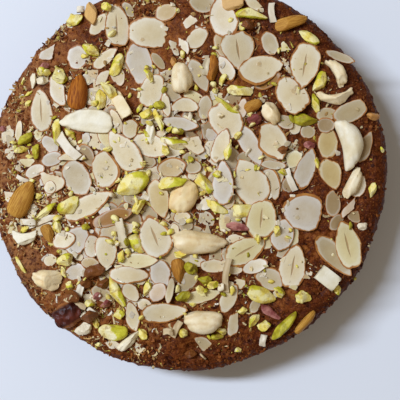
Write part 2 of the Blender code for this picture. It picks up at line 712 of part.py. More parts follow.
def build():
    clear_scene()
    crust = crust_material()
    loose = Ground()
    nuts = add_nuts("cashew", CASHEWS, cashew_material(), loose, 8, 7)
    nuts += add_nuts("almond_half", ALMONDS, almond_material(), loose, 7, 6)
    nuts += add_nuts("pistachio", PISTACHIOS, pistachio_material(), loose, 7, 6)
    nuts += add_nuts("raisin", RAISINS, raisin_material(), loose, 8, 6)
    cutters = [cutter_of(nut) for nut in nuts]
    core = finish(cake_core(), "cake", crust)
    fuse(core, add_baked_on(crust, Ground()), cutters)
    for cutter in cutters:
        bpy.data.objects.remove(cutter)


build()
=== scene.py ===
import collections
import math
import random

import bmesh
import bpy
import numpy as np
from mathutils import Matrix, Vector, noise
from mathutils.bvhtree import BVHTree


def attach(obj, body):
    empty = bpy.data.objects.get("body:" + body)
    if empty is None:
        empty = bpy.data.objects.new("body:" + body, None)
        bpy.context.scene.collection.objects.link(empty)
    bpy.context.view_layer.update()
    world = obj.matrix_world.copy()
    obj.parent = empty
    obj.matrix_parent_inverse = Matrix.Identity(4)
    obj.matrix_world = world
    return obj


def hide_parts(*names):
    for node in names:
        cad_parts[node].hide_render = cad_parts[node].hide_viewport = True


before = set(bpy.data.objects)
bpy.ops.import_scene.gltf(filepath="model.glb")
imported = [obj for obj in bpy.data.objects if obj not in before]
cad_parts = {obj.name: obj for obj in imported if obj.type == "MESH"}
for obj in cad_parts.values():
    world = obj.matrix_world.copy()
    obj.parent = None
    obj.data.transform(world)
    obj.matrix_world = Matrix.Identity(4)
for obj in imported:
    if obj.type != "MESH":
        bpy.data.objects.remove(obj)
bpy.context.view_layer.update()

# The camera. The cake lies flat and is seen from straight above, from a height of about 60 cm. Places
# on its top are given in that view, a square of 400 pixels, and PIXEL is what one measures there.
MM = 0.001
MIDDLE_U, MIDDLE_V = 188.5, 174.5
PIXEL = 0.507 * MM
VIEW_PIXELS = 400
TOP_LEVEL = 44 * MM
CAMERA_HEIGHT = 594 * MM
SENSOR = 36.0
NEAREST = 10 * MM


def on_top(u, v):
    """Metres from the cake's middle for a place in the view from above."""
    return (u - MIDDLE_U) * PIXEL, (MIDDLE_V - v) * PIXEL


camera_data = bpy.data.cameras.new("camera")
camera_data.sensor_width = SENSOR
camera_data.lens = SENSOR * (CAMERA_HEIGHT - TOP_LEVEL) / (VIEW_PIXELS * PIXEL)
camera_data.clip_start = NEAREST
camera = bpy.data.objects.new("camera", camera_data)
camera.location = (*on_top(VIEW_PIXELS / 2, VIEW_PIXELS / 2), CAMERA_HEIGHT)
bpy.context.scene.collection.objects.link(camera)
bpy.context.scene.camera = camera
bpy.context.scene.view_settings.view_transform = "Standard"

# The light. One cool strip of window to the left, long in the cake's X direction and narrow across it,
# so that shadows are soft towards the right and crisp towards the front, and a weak warm room round
# the table that fills them.
KEY_FROM = Vector((-0.60, 0.24, 1.0)).normalized()
KEY_DISTANCE = 2.0
KEY_LONG = 0.825
KEY_SHORT = 0.175
KEY_POWER = 34.3
KEY_COLOUR = (0.86, 1.0, 1.25)
ROOM_COLOUR = (0.270, 0.236, 0.192)

key_data = bpy.data.lights.new("window", "AREA")
key_data.shape = "RECTANGLE"
key_data.size = KEY_LONG
key_data.size_y = KEY_SHORT
key_data.energy = KEY_POWER
key_data.color = KEY_COLOUR
key = bpy.data.objects.new("window", key_data)
key.location = KEY_FROM * KEY_DISTANCE
key_along = (Vector((1, 0, 0)) - KEY_FROM.x * KEY_FROM).normalized()
key_turn = Matrix((key_along, KEY_FROM.cross(key_along), KEY_FROM)).transposed()
key.rotation_mode = "QUATERNION"
key.rotation_quaternion = key_turn.to_quaternion()
bpy.context.scene.collection.objects.link(key)

room = bpy.data.worlds.new("room")
room.use_nodes = True
room.node_tree.nodes["Background"].inputs["Color"].default_value = (*ROOM_COLOUR, 1.0)
bpy.context.scene.world = room

# The table top: a plain, pale, matt board, far wider than the view. It belongs to the stage, and the
# cake stands on it without a plate.
FLOOR_SIZE = 30.0
FLOOR_COLOUR = (0.80, 0.80, 0.80)
FLOOR_SHADE = 0.985
FLOOR_PATCHES = 3.0


class Finish:
    """A Principled material under construction, with short calls for the nodes that it needs."""

    def __init__(self, name, roughness, **settings):
        self.material = bpy.data.materials.new(name)
        self.material.use_nodes = True
        self.nodes = self.material.node_tree.nodes
        self.shader = self.nodes["Principled BSDF"]
        self.shader.inputs["Roughness"].default_value = roughness
        for socket, value in settings.items():
            self.shader.inputs[socket.replace("_", " ")].default_value = value
        self.place = self.nodes.new("ShaderNodeTexCoord").outputs["Object"]

    def link(self, source, target):
        self.material.node_tree.links.new(source, target)

    def noise(self, scale, detail=4.0, rough=0.55, place=None):
        node = self.nodes.new("ShaderNodeTexNoise")
        node.inputs["Scale"].default_value = scale
        node.inputs["Detail"].default_value = detail
        node.inputs["Roughness"].default_value = rough
        self.link(place or self.place, node.inputs["Vector"])
        return node.outputs["Fac"]

    def attribute(self, name, output="Fac"):
        node = self.nodes.new("ShaderNodeAttribute")
        node.attribute_name = name
        return node.outputs[output]

    def math(self, operation, first, second=None, third=None):
        node = self.nodes.new("ShaderNodeMath")
        node.operation = operation
        for socket, value in zip(node.inputs, (first, second, third)):
            if value is None:
                continue
            if isinstance(value, (int, float)):
                socket.default_value = value
            else:
                self.link(value, socket)
        return node.outputs[0]

    def between(self, value, low, high):
        """0 below low, 1 above high, and smooth between."""
        node = self.nodes.new("ShaderNodeMapRange")
        node.interpolation_type = "SMOOTHSTEP"
        node.inputs["From Min"].default_value = low
        node.inputs["From Max"].default_value = high
        self.link(value, node.inputs["Value"])
        return node.outputs["Result"]

    def mix(self, share, first, second, kind="MIX"):
        node = self.nodes.new("ShaderNodeMix")
        node.data_type = "RGBA"
        node.blend_type = kind
        if isinstance(share, (int, float)):
            node.inputs[0].default_value = share
        else:
            self.link(share, node.inputs[0])
        for socket, value in ((node.inputs[6], first), (node.inputs[7], second)):
            if isinstance(value, tuple):
                socket.default_value = (*value, 1.0)
            else:
                self.link(value, socket)
        return node.outputs[2]

    def colour(self, value):
        self.link(value, self.shader.inputs["Base Color"])

    def rough(self, share, low, high):
        node = self.nodes.new("ShaderNodeMapRange")
        node.inputs["To Min"].default_value = low
        node.inputs["To Max"].default_value = high
        self.link(share, node.inputs["Value"])
        self.link(node.outputs["Result"], self.shader.inputs["Roughness"])

    def bump(self, height, distance, strength=1.0):
        node = self.nodes.new("ShaderNodeBump")
        node.inputs["Strength"].default_value = strength
        node.inputs["Distance"].default_value = distance
        self.link(height, node.inputs["Height"])
        self.link(node.outputs["Normal"], self.shader.inputs["Normal"])


floor_finish = Finish("table_top", 0.75)
floor_tone = floor_finish.noise(FLOOR_PATCHES, 2.0)
floor_shade = tuple(FLOOR_SHADE * c for c in FLOOR_COLOUR)
floor_finish.colour(floor_finish.mix(floor_tone, FLOOR_COLOUR, floor_shade))
bm = bmesh.new()
bmesh.ops.create_grid(bm, x_segments=2, y_segments=2, size=FLOOR_SIZE / 2)
floor_mesh = bpy.data.meshes.new("table_top")
bm.to_mesh(floor_mesh)
bm.free()
floor_mesh.materials.append(floor_finish.material)
floor = bpy.data.objects.new("table_top", floor_mesh)
bpy.context.scene.collection.objects.link(floor)

# The cake: a dense brown crumb under a thin baked crust, turned out of a round tin. The wall leans in
# a little towards the base, the shoulder is round and dark, and the top is pitted and crumbly.
CAKE_RADIUS = 101.0 * MM
RIM_HEIGHT = 40.0 * MM
DOME_RISE = 5.0 * MM
SHOULDER_WIDTH = 8.0 * MM
SHOULDER_DROP = 6.5 * MM
BASE_RADIUS_SHARE = 0.965
BASE_EDGE = 2.0 * MM
OUT_OF_ROUND = 1.1 * MM
OUT_OF_ROUND_TURN = math.radians(26.0)
OUTLINE_WAVES = ((3, 1.0, 0.5), (7, 0.0, 0.35), (13, 2.0, 0.3))
SURFACE_WAVE = 0.35 * MM
WALL_START = 1.5 * MM
CRUST_STEPS = 560
TOP_RINGS = 98
TOP_RING_SPREAD = 0.8
SHOULDER_RINGS = 30
WALL_RINGS = 34
EDGE_RINGS = 6
BASE_RINGS = (0.8, 0.5, 0.0)
ON_THE_TOP = 1.0
RELIEF_FROM = 0.4 * MM
RELIEF_FULL = 2.0 * MM
WALL_RELIEF = 0.75
SHARP_EDGE = math.radians(50)
# LIT_HALF spreads the painted light over the left of the crust; the RIM_TONE values place the rim's darker
# bake with its painted shade.
LIT_HALF = 75 * MM
WALL_TONE_FROM = 40.5 * MM
WALL_TONE_FULL = 33 * MM
RIM_TONE_FROM = 80 * MM
RIM_TONE_FULL = 96 * MM
GOLD_FROM = -50 * MM
GOLD_FULL = -92 * MM
CRUST_LIGHT = (0.345, 0.114, 0.022)
CRUST_MIDDLE = (0.190, 0.043, 0.0066)
CRUST_DARK = (0.058, 0.0092, 0.0012)
CRUST_SPECK = (0.420, 0.150, 0.030)
CRUST_GOLD = (0.420, 0.185, 0.062)
CRUST_WALL = (0.112, 0.027, 0.0052)

Hollow = collections.namedtuple("Hollow", "u v radius depth")
HOLLOWS = (
    Hollow(190, 349, 4.0, 2.4),
    Hollow(198, 351, 3.0, 1.6),
    Hollow(255, 42, 4.0, 0.8),
    Hollow(158, 346, 2.6, 1.0),
    Hollow(76, 300, 3.5, 1.0),
    Hollow(318, 290, 3.0, 0.8),
)


def outline_radius(azimuth):
    """The cake isn't quite round: it is a little longer one way, with a few low waves."""
    waves = sum(size * np.sin(count * azimuth + start) for count, start, size in OUTLINE_WAVES)
    return CAKE_RADIUS + OUT_OF_ROUND * np.cos(2 * (azimuth - OUT_OF_ROUND_TURN)) + waves * MM


def surface_wave(x, y):
    """Low unevenness of the baked top."""
    wave = np.sin(x / (9 * MM) + 0.4) * np.cos(y / (11 * MM)) + 0.6 * np.sin((x + y) / (8 * MM))
    return SURFACE_WAVE * wave


def top_height(x, y):
    """Height of the bare cake's top, falling away over the rounded shoulder."""
    radius = outline_radius(np.arctan2(y, x))
    inward = radius - np.hypot(x, y)
    share = np.clip(1 - inward / SHOULDER_WIDTH, 0, 1)
    dome = RIM_HEIGHT + DOME_RISE * (1 - (np.hypot(x, y) / radius) ** 2)
    height = dome - SHOULDER_DROP * (1 - np.sqrt(np.clip(1 - share**2, 0, 1)))
    return np.where(inward > 0, height + surface_wave(x, y) * (1 - share), 0.0)


def crust_relief(place, on_wall):
    """Lumps, crumbs and pits of the baked surface, in metres outwards."""
    lumps = 0.50 * noise.noise(place * 110) + 0.42 * noise.noise(place * 260)
    crumb = max(0.0, noise.noise(place * 520 + Vector((7, 3, 1))) - 0.05)
    pits = max(0.0, noise.noise(place * 340 + Vector((1, 9, 4))) - 0.22)
    grain = noise.noise(place * 900)
    rough = 0.14 * grain + 0.95 * crumb - 1.8 * pits
    share = WALL_RELIEF if on_wall else 1.0
    return share * (lumps + rough) * MM


def crust_profile():
    """Distances out and heights from the middle of the top, over the shoulder and wall, to the base."""
    top = [(CAKE_RADIUS - SHOULDER_WIDTH) * (i / TOP_RINGS) ** TOP_RING_SPREAD for i in range(TOP_RINGS)]
    turn = [math.pi / 2 * (i + 0.5) / SHOULDER_RINGS for i in range(SHOULDER_RINGS)]
    shoulder = [CAKE_RADIUS - SHOULDER_WIDTH * (1 - math.sin(t)) for t in turn]
    points = [(out, ON_THE_TOP) for out in top + shoulder]
    wall_top = RIM_HEIGHT - SHOULDER_DROP - WALL_START
    for i in range(WALL_RINGS + 1):
        down = i / WALL_RINGS
        share = 1.0 - (1.0 - BASE_RADIUS_SHARE) * down
        points.append((share * CAKE_RADIUS, wall_top - down * (wall_top - BASE_EDGE)))
    for i in range(1, EDGE_RINGS + 1):
        t = math.pi / 2 * i / EDGE_RINGS
        out = BASE_RADIUS_SHARE * CAKE_RADIUS - BASE_EDGE * (1 - math.cos(t))
        points.append((out, BASE_EDGE * (1 - math.sin(t))))
    return points + [(CAKE_RADIUS * share, 0.0) for share in BASE_RINGS]


def crust_mesh():
    """The profile turned round, set on the height of the top, with hollows and relief."""
    points = crust_profile()
    bm = bmesh.new()
    profile = [bm.verts.new((r, 0, z)) for r, z in points]
    edges = [bm.edges.new(pair) for pair in zip(profile, profile[1:])]
    bmesh.ops.spin(bm, geom=profile + edges, cent=(0, 0, 0), axis=(0, 0, 1), angle=math.tau,
                   steps=CRUST_STEPS, use_merge=True, use_duplicate=False)
    bmesh.ops.remove_doubles(bm, verts=bm.verts, dist=0.01 * MM)
    bmesh.ops.recalc_face_normals(bm, faces=bm.faces)
    hollows = [(*on_top(h.u, h.v), h.radius * MM, h.depth * MM) for h in HOLLOWS]
    for vert in bm.verts:
        x, y, z = vert.co
        out = math.hypot(x, y)
        grown = float(outline_radius(math.atan2(y, x))) / CAKE_RADIUS if out else 1.0
        x, y = x * grown, y * grown
        if z == ON_THE_TOP:
            z = float(top_height(x, y))
            for at_x, at_y, radius, depth in hollows:
                z -= depth * math.exp(-((x - at_x) ** 2 + (y - at_y) ** 2) / radius**2)
        vert.co = (x, y, z)
    bm.normal_update()
    moved = []
    for vert in bm.verts:
        on_wall = vert.co.z < RIM_HEIGHT - SHOULDER_DROP
        fade = min(1.0, max(0.0, (vert.co.z - RELIEF_FROM) / RELIEF_FULL))
        moved.append(vert.co + vert.normal * crust_relief(vert.co, on_wall) * fade)
    for vert, place in zip(bm.verts, moved):
        vert.co = place
    return bm


def crust_finish():
    """Red brown where the crumb shows, with painted light to the left, dark where baked hard, and painted
    shade round the rim.
    """
    made = Finish("baked_crust", 0.5, Specular_IOR_Level=0.10)
    broad = made.noise(30.0, 3.0)
    patch = made.noise(140.0, 3.0)
    fine = made.noise(520.0, 5.0, 0.62)
    specks = made.noise(1500.0, 2.0, 0.5)
    parts = made.nodes.new("ShaderNodeSeparateXYZ")
    made.link(made.place, parts.inputs[0])
    towards_left = made.between(parts.outputs[0], LIT_HALF, -LIT_HALF)
    on_wall = made.between(parts.outputs[2], WALL_TONE_FROM, WALL_TONE_FULL)
    out = made.math("POWER", parts.outputs[0], 2.0)
    out = made.math("SQRT", made.math("ADD", out, made.math("POWER", parts.outputs[1], 2.0)))
    uneven_out = made.math("MULTIPLY_ADD", made.math("SUBTRACT", broad, 0.5), 0.02, out)
    # The rim is darkened, least on the left: partly the harder bake of the rim, partly painted shade on
    # the shoulder turned from the light.
    off_left = made.math("MULTIPLY_ADD", towards_left, -0.75, 1.0)
    rim = made.math("MULTIPLY", made.between(uneven_out, RIM_TONE_FROM, RIM_TONE_FULL), off_left)
    tone = made.mix(made.between(fine, 0.40, 0.62), CRUST_DARK, CRUST_MIDDLE)
    tone = made.mix(made.math("MULTIPLY", on_wall, 0.55), tone, CRUST_WALL)
    tone = made.mix(made.math("MULTIPLY", made.between(patch, 0.52, 0.38), 0.5), tone, CRUST_DARK)
    # Painted light: the paler crust is laid on in random patches and, more, towards the left, where the
    # window light falls.
    lit = made.mix(made.between(fine, 0.36, 0.66), CRUST_MIDDLE, CRUST_LIGHT)
    share = made.math("ADD", made.math("MULTIPLY", towards_left, 0.85), made.between(patch, 0.46, 0.72))
    share = made.math("MULTIPLY", share, made.between(broad, 0.30, 0.62))
    share = made.math("MULTIPLY", share, made.math("MULTIPLY_ADD", on_wall, -0.6, 1.0))
    share = made.math("MULTIPLY", share, made.math("MULTIPLY_ADD", rim, -0.7, 1.0))
    base = made.mix(made.between(share, 0.05, 0.9), tone, lit)
    base = made.mix(made.math("MULTIPLY", rim, 0.45), base, CRUST_DARK)
    far_left = made.between(parts.outputs[0], GOLD_FROM, GOLD_FULL)
    gold = made.math("MULTIPLY", far_left, made.between(fine, 0.36, 0.58))
    gold = made.math("MULTIPLY", gold, made.math("MULTIPLY_ADD", on_wall, -0.6, 0.6))
    base = made.mix(gold, base, CRUST_GOLD)
    base = made.mix(made.math("MULTIPLY", made.between(specks, 0.58, 0.70), 0.5), base, CRUST_SPECK)
    base = made.mix(made.math("MULTIPLY", made.between(specks, 0.42, 0.32), 0.6), base, CRUST_DARK)
    made.colour(base)
    made.rough(fine, 0.26, 0.75)
    made.bump(made.math("ADD", fine, made.math("MULTIPLY", specks, 0.4)), 0.5 * MM, 0.9)
    return made


def new_piece(name, bm, finish, nodes=()):
    """Makes the mesh a piece that rides on the cake and stands for these nodes."""
    mesh = bpy.data.meshes.new(name)
    bm.to_mesh(mesh)
    bm.free()
    mesh.materials.append(finish.material)
    mesh.shade_smooth()
    mesh.set_sharp_from_angle(angle=SHARP_EDGE)
    piece = bpy.data.objects.new(name, mesh)
    bpy.context.scene.collection.objects.link(piece)
    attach(piece, "root")
    if nodes:
        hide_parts(*nodes)


new_piece("cake_crust", crust_mesh(), crust_finish(), ["cake"])

# Cashew halves and pieces: pale to roasted nut flesh, split along the seam, some broken or cut. Each
# lies on the baked top on three points, round side up. A row is its place, length, width, turn, height,
# sideways bend, narrowing to one end, tone from pale to roasted, and how many flat faces it has.
CELL = 0.8 * MM
NODE_GAP = 0.36 * MM
BEYOND_CAKE = 12 * MM
STEEPEST = 0.34
FAR_AWAY = 200 * MM
FIRST_PROPS = (0.3, 2.4, 4.5)
MOST_PROPS = 60
HELD_WITHIN = 0.001 * MM
NUT_SIDES = 30
NUT_STATIONS = 26
NUT_ABOVE = 0.72
NUT_BELOW = 0.28
BLUNT_ENDS = 0.62
POINTED = 1.6
OWN_SHIFT = 0.37
FLAT_TOP = 0.40
CUT_DEPTHS = (0.52, 0.80)
CUT_FLATNESS = 0.94
CUT_EDGE = 0.10
BLOCK = -1
BLOCK_SIDES = ((1, 0, 0, 0.74), (-1, 0, 0, 0.76), (0, 1, 0, 0.66), (0, -1, 0, 0.70), (0, 0, 1, 0.62))
FLAT_BELOW_TONE = 0.15
CASHEW_PALE = ((0.80, 0.68, 0.43), (0.92, 0.83, 0.63))
CASHEW_ROASTED = ((0.86, 0.60, 0.25), (0.96, 0.75, 0.41))
CASHEW_TOAST = (0.66, 0.38, 0.14)
CASHEW_CUT = (0.90, 0.80, 0.58)
CASHEW_CREASE_SHADE = (0.66, 0.40, 0.16)
CASHEW_DUST = (0.96, 0.90, 0.76)

Nut = collections.namedtuple("Nut", "u v length width turn height bend taper tone cuts")
CASHEWS = (
    Nut(86, 122, 27, 13, 178, 7.0, 1.5, 0.28, 0.1, 0),
    Nut(181, 78, 15.5, 11, 95, 7.0, 0.6, 0.12, 0.5, 0),
    Nut(337, 73, 16, 9, 118, 6.0, 3.2, 0.0, 0.5, 1),
    Nut(336, 96, 18, 10, 10, 6.0, 4.0, 0.1, 0.7, 3),
    Nut(348, 145, 26, 15, -80, 8.5, -4.2, 0.15, 0.16, 0),
    Nut(352, 183, 18, 8, 65, 5.0, 1.8, 0.0, 0.5, 2),
    Nut(200, 242, 26.5, 12.5, -3, 7.5, 0.8, 0.25, 0.7, 0),
    Nut(203, 320, 19.5, 14.5, -5, 8.0, 2.6, 0.0, 0.6, 1),
    Nut(47, 279, 16, 11.5, 172, 7.0, -1.0, 0.2, 0.7, 2),
    Nut(24, 236, 13, 10, 0, 5.0, 3.6, 0.0, 0.1, 2),
    Nut(328, 278, 15, 12, -38, 8.0, 0.0, 0.05, 0.0, BLOCK),
    Nut(122, 107, 15, 9, 120, 6.5, 0.6, 0.0, 0.9, BLOCK),
    Nut(183, 196, 17, 14, 60, 5.5, 0.8, 0.0, 1.0, 0),
    Nut(271, 113, 11.5, 8.5, -60, 6.0, 0.4, 0.1, 0.8, 3),
    Nut(129, 341, 15, 5.5, 42, 4.0, 0.6, 0.0, 0.3, 3),
    Nut(150, 133, 12, 5.5, 88, 4.5, 0.2, 0.2, 0.1, 4),
)


def holds_middle(a, b, c):
    """Whether the triangle of these three points, seen from above, has the middle inside."""
    sides = [p[0] * q[1] - p[1] * q[0] for p, q in ((a, b), (b, c), (c, a))]
    return all(s >= 0 for s in sides) or all(s <= 0 for s in sides)


def resting_plane(dx, dy, needed):
    """Height at the middle and the two slopes of the plane that three of the needed heights hold up."""
    deep = float(needed.min()) - FAR_AWAY
    held = [np.array((FAR_AWAY * math.cos(t), FAR_AWAY * math.sin(t), deep)) for t in FIRST_PROPS]
    points = np.stack([dx, dy, needed], axis=1)
    for _ in range(MOST_PROPS):
        across = np.stack([np.ones(3), [p[0] for p in held], [p[1] for p in held]], axis=1)
        plane = np.linalg.solve(across, np.array([p[2] for p in held]))
        over = needed - (plane[0] + plane[1] * dx + plane[2] * dy)
        worst = int(np.argmax(over))
        if over[worst] < HELD_WITHIN:
            break
        new = points[worst]
        for k in range(3):
            others = [held[j] for j in range(3) if j != k]
            if holds_middle(new, *others):
                held[k] = new
                break
        else:
            break
    slope = plane[1:]
    steep = float(np.hypot(*slope))
    if steep > STEEPEST:
        slope = slope * STEEPEST / steep
    lift = float((needed - slope[0] * dx - slope[1] * dy).max())
    return lift, float(slope[0]), float(slope[1])


class Ground:
    """Height of everything laid so far, on square cells seen from above."""

    def __init__(self, cell):
        reach = CAKE_RADIUS + BEYOND_CAKE
        self.line = np.arange(-reach, reach, cell)
        self.x, self.y = np.meshgrid(self.line, self.line)
        self.height = top_height(self.x, self.y)

    def seen(self, bm, upwards):
        """Cells under the piece, and the height of its underside, or else of its top, over each."""
        tree = BVHTree.FromBMesh(bm)
        low = Vector([min(v.co[k] for v in bm.verts) for k in range(3)])
        high = Vector([max(v.co[k] for v in bm.verts) for k in range(3)])
        first = [int(np.searchsorted(self.line, low[k])) for k in range(2)]
        last = [int(np.searchsorted(self.line, high[k])) for k in range(2)]
        start, way = (low.z - MM, 1.0) if upwards else (high.z + MM, -1.0)
        way = Vector((0, 0, way))
        rows, columns, met = [], [], []
        for row in range(first[1], last[1]):
            for column in range(first[0], last[0]):
                hit = tree.ray_cast(Vector((self.line[column], self.line[row], start)), way)[0]
                if hit is not None:
                    rows.append(row)
                    columns.append(column)
                    met.append(hit.z)
        return np.array(rows, int), np.array(columns, int), np.array(met)

    def settle(self, bm, at, turn, gap):
        """Turns the piece, moves it over its place and lowers it until three points of it are held up."""
        turned = Matrix.Rotation(math.radians(turn), 3, "Z")
        bmesh.ops.rotate(bm, verts=bm.verts, cent=(0, 0, 0), matrix=turned)
        bmesh.ops.translate(bm, verts=bm.verts, vec=(at[0], at[1], 0))
        rows, columns, under = self.seen(bm, upwards=True)
        if not len(rows):
            return False
        dx = self.x[rows, columns] - at[0]
        dy = self.y[rows, columns] - at[1]
        lift, slope_x, slope_y = resting_plane(dx, dy, self.height[rows, columns] + gap - under)
        for vert in bm.verts:
            vert.co.z += lift + slope_x * (vert.co.x - at[0]) + slope_y * (vert.co.y - at[1])
        return True

    def cover(self, bm):
        """Adds the settled piece to what lies there."""
        rows, columns, top = self.seen(bm, upwards=False)
        self.height[rows, columns] = np.maximum(self.height[rows, columns], top)


def set_points(bm, name, values):
    """Stores one number for each point, which a material can read."""
    layer = bm.verts.layers.float.get(name) or bm.verts.layers.float.new(name)
    for vert, value in zip(bm.verts, values):
        vert[layer] = value


def add_to(whole, part):
    """Adds a finished small mesh to the piece that it belongs to."""
    mesh = bpy.data.meshes.new("part")
    part.to_mesh(mesh)
    part.free()
    whole.from_mesh(mesh)
    bpy.data.meshes.remove(mesh)


def nut_blank(nut, sides, stations):
    """A nut half lying on its flatter side: a spindle along X, bent sideways and narrower at one end."""
    bm = bmesh.new()
    bmesh.ops.create_uvsphere(bm, u_segments=sides, v_segments=stations, radius=1.0)
    body = nut.width - abs(nut.bend)
    for vert in bm.verts:
        round_y, round_z, along = vert.co
        out = math.hypot(round_y, round_z)
        fuller_ends = out ** (BLUNT_ENDS - 1) if out > 0.01 else 1.0
        round_y *= fuller_ends
        round_z *= fuller_ends
        narrow = 1 - nut.taper * along - POINTED * nut.taper * max(0.0, along) ** 3
        y = round_y * narrow * body / 2 + nut.bend * (along**2 - 0.5)
        z = round_z * narrow * nut.height * (NUT_ABOVE if round_z > 0 else NUT_BELOW)
        vert.co = (along * nut.length * MM / 2, y * MM, z * MM)
    bmesh.ops.recalc_face_normals(bm, faces=bm.faces)
    return bm


def cut_faces(bm, nut, draw, flat_top):
    """Flattens the nut to a few planes, as the knife leaves it, and marks the points on them."""
    cut = bm.verts.layers.float.new("cut")
    size = Vector((nut.length * MM / 2, nut.width * MM / 2, nut.height * MM * NUT_ABOVE))
    planes = []
    if flat_top:
        away = Vector((draw.uniform(-0.08, 0.08), draw.uniform(-0.12, 0.12), 1.0)).normalized()
        planes.append((away, FLAT_TOP))
    if nut.cuts == BLOCK:
        planes = [(Vector(side[:3]), side[3]) for side in BLOCK_SIDES]
    for _ in range(nut.cuts):
        away = Vector((draw.uniform(-1, 1), draw.uniform(-1, 1), draw.uniform(0.0, 0.9))).normalized()
        planes.append((away, draw.uniform(*CUT_DEPTHS)))
    for away, keep in planes:
        for vert in bm.verts:
            unit = Vector([c / k for c, k in zip(vert.co, size)])
            over = unit.dot(away) - keep
            if over > 0:
                unit -= away * over * CUT_FLATNESS
                vert.co = Vector([c * k for c, k in zip(unit, size)])
                vert[cut] = min(1.0, vert[cut] + over / CUT_EDGE)


def lay_nuts(nuts, shape, ground, sides=NUT_SIDES, stations=NUT_STATIONS, flat_below=0.0):
    """All nuts of one kind as one mesh. Each point has its nut's tone and its own place on the nut."""
    whole = bmesh.new()
    for number, nut in enumerate(nuts, 1):
        draw = random.Random(number)
        bm = nut_blank(nut, sides, stations)
        set_points(bm, "tone", [nut.tone] * len(bm.verts))
        set_points(bm, "along", [v.co.x / (nut.length * MM / 2) for v in bm.verts])
        set_points(bm, "across", [v.co.y / (nut.width * MM / 2) for v in bm.verts])
        set_points(bm, "own", [number * OWN_SHIFT] * len(bm.verts))
        cut_faces(bm, nut, draw, nut.tone < flat_below)
        ground.settle(bm, on_top(nut.u, nut.v), nut.turn, NODE_GAP)
        ground.cover(bm)
        shape(bm, nut, number)
        add_to(whole, bm)
    return whole


def cashew_shape(bm, nut, number):
    """Ridges along the nut, stronger where it is roasted, a groove and chipped edges."""
    shift = Vector((number * 3.1, number * 1.7, 0))
    along = bm.verts.layers.float["along"]
    across = bm.verts.layers.float["across"]
    cut = bm.verts.layers.float["cut"]
    crease = bm.verts.layers.float.new("crease")
    bm.normal_update()
    moved = []
    for vert in bm.verts:
        place = Vector((vert[along] * 0.9, vert[across] * 2.6, vert.co.z * 90)) + shift
        bent = 1.6 * vert[along] ** 2
        ridges = math.sin(10 * vert[across] + bent + 4 * noise.noise(place * 0.7) + number)
        roasted = min(1.0, 0.25 + 1.4 * nut.tone)
        # The crease mark: where painted shade goes, in the grooves between the ridges.
        vert[crease] = max(0.0, -ridges - 0.25) * (1 - 0.6 * vert[cut]) * roasted**2
        relief = 0.34 * noise.noise(place) + 0.16 * noise.noise(place * 2.7)
        if nut.cuts == BLOCK:
            relief, ridges, vert[crease] = 0.3 * relief, 0.0, 0.0
        relief += 0.24 * ridges * roasted * (1 - 0.6 * vert[cut]) * (0.4 + abs(vert[along]))
        groove = math.exp(-((vert[across] - 0.15 - 0.25 * vert[along] ** 2) / 0.10) ** 2)
        relief -= 0.5 * groove * (1 if number % 2 else 0.3)
        chips = max(0.0, noise.noise(vert.co * 260 + shift) - 0.25)
        relief -= (0.0 if nut.cuts == BLOCK else 1.3) * chips
        moved.append(vert.co + vert.normal * relief * MM)
    for vert, place in zip(bm.verts, moved):
        vert.co = place


def cashew_finish():
    """Mottled ivory to roasted beige, with toasted streaks and painted shade in brown along the creases.
    """
    made = Finish("roasted_cashew", 0.5, Specular_IOR_Level=0.3)
    tone = made.attribute("tone")
    cut = made.attribute("cut")
    broad = made.noise(120.0, 3.0)
    fine = made.noise(700.0, 4.0)
    pale = made.mix(made.between(broad, 0.35, 0.7), *CASHEW_PALE)
    roasted = made.mix(made.between(broad, 0.35, 0.7), *CASHEW_ROASTED)
    base = made.mix(tone, pale, roasted)
    streaks = made.noise(260.0, 2.0)
    toasted = made.math("MULTIPLY", made.between(streaks, 0.58, 0.74), made.math("MULTIPLY", tone, 0.6))
    base = made.mix(toasted, base, CASHEW_TOAST)
    base = made.mix(made.math("MULTIPLY", cut, 0.2), base, CASHEW_CUT)
    # Painted shade: brown in the grooves between the ridges, stronger on roasted nuts.
    base = made.mix(made.math("MULTIPLY", made.attribute("crease"), 0.6), base, CASHEW_CREASE_SHADE)
    base = made.mix(made.math("MULTIPLY", made.between(fine, 0.60, 0.8), 0.3), base, CASHEW_DUST)
    made.colour(base)
    made.rough(fine, 0.42, 0.62)
    made.bump(fine, 0.2 * MM, 0.7)
    return made


def numbered(name, count):
    """The names of the nodes that one piece stands for."""
    return [f"{name}_{number:02d}" for number in range(1, count + 1)]


nut_ground = Ground(CELL)
cashew_mesh = lay_nuts(CASHEWS, cashew_shape, nut_ground, flat_below=FLAT_BELOW_TONE)
new_piece("cashews", cashew_mesh, cashew_finish(), numbered("cashew", len(CASHEWS)))

# Almond halves with their skin on: orange brown and streaked lengthwise, a few blanched at the top
# edge. They are split or broken, and lie on the flat side.
ALMOND_LIGHT = ((0.67, 0.365, 0.062), (0.51, 0.165, 0.018))
ALMOND_DARK = ((0.42, 0.175, 0.022), (0.22, 0.049, 0.0055))
ALMOND_CUT = (0.66, 0.36, 0.09)
ALMOND_BLANCHED = (0.86, 0.53, 0.22)

ALMONDS = (
    Nut(78, 92, 18, 10, 83, 5.0, 0.0, 0.2, 1.0, 0),
    Nut(22, 199, 20, 11, 62, 5.0, 0.0, 0.2, 0.2, 0),
    Nut(291, 22, 17.5, 7.5, 16, 4.5, 0.4, 0.15, 0.3, 2),
    Nut(213, 68, 13.5, 7, 88, 4.5, 0.0, 0.2, 0.8, 1),
    Nut(253, 106, 9.5, 6, 28, 4.0, 0.0, 0.1, 0.4, 1),
    Nut(179, 271, 13, 7, -80, 4.5, 0.0, 0.2, 0.5, 1),
    Nut(233, 2, 11, 9, 0, 5.0, 0.0, 0.1, -1.0, 1),
    Nut(90, 13, 13, 7, 88, 5.0, 0.4, 0.1, -0.6, 2),
    Nut(306, 323, 15, 5, 50, 4.0, 0.4, 0.1, 0.1, 1),
    Nut(48, 234, 10, 6, -70, 4.0, 0.0, 0.3, 0.3, 3),
)


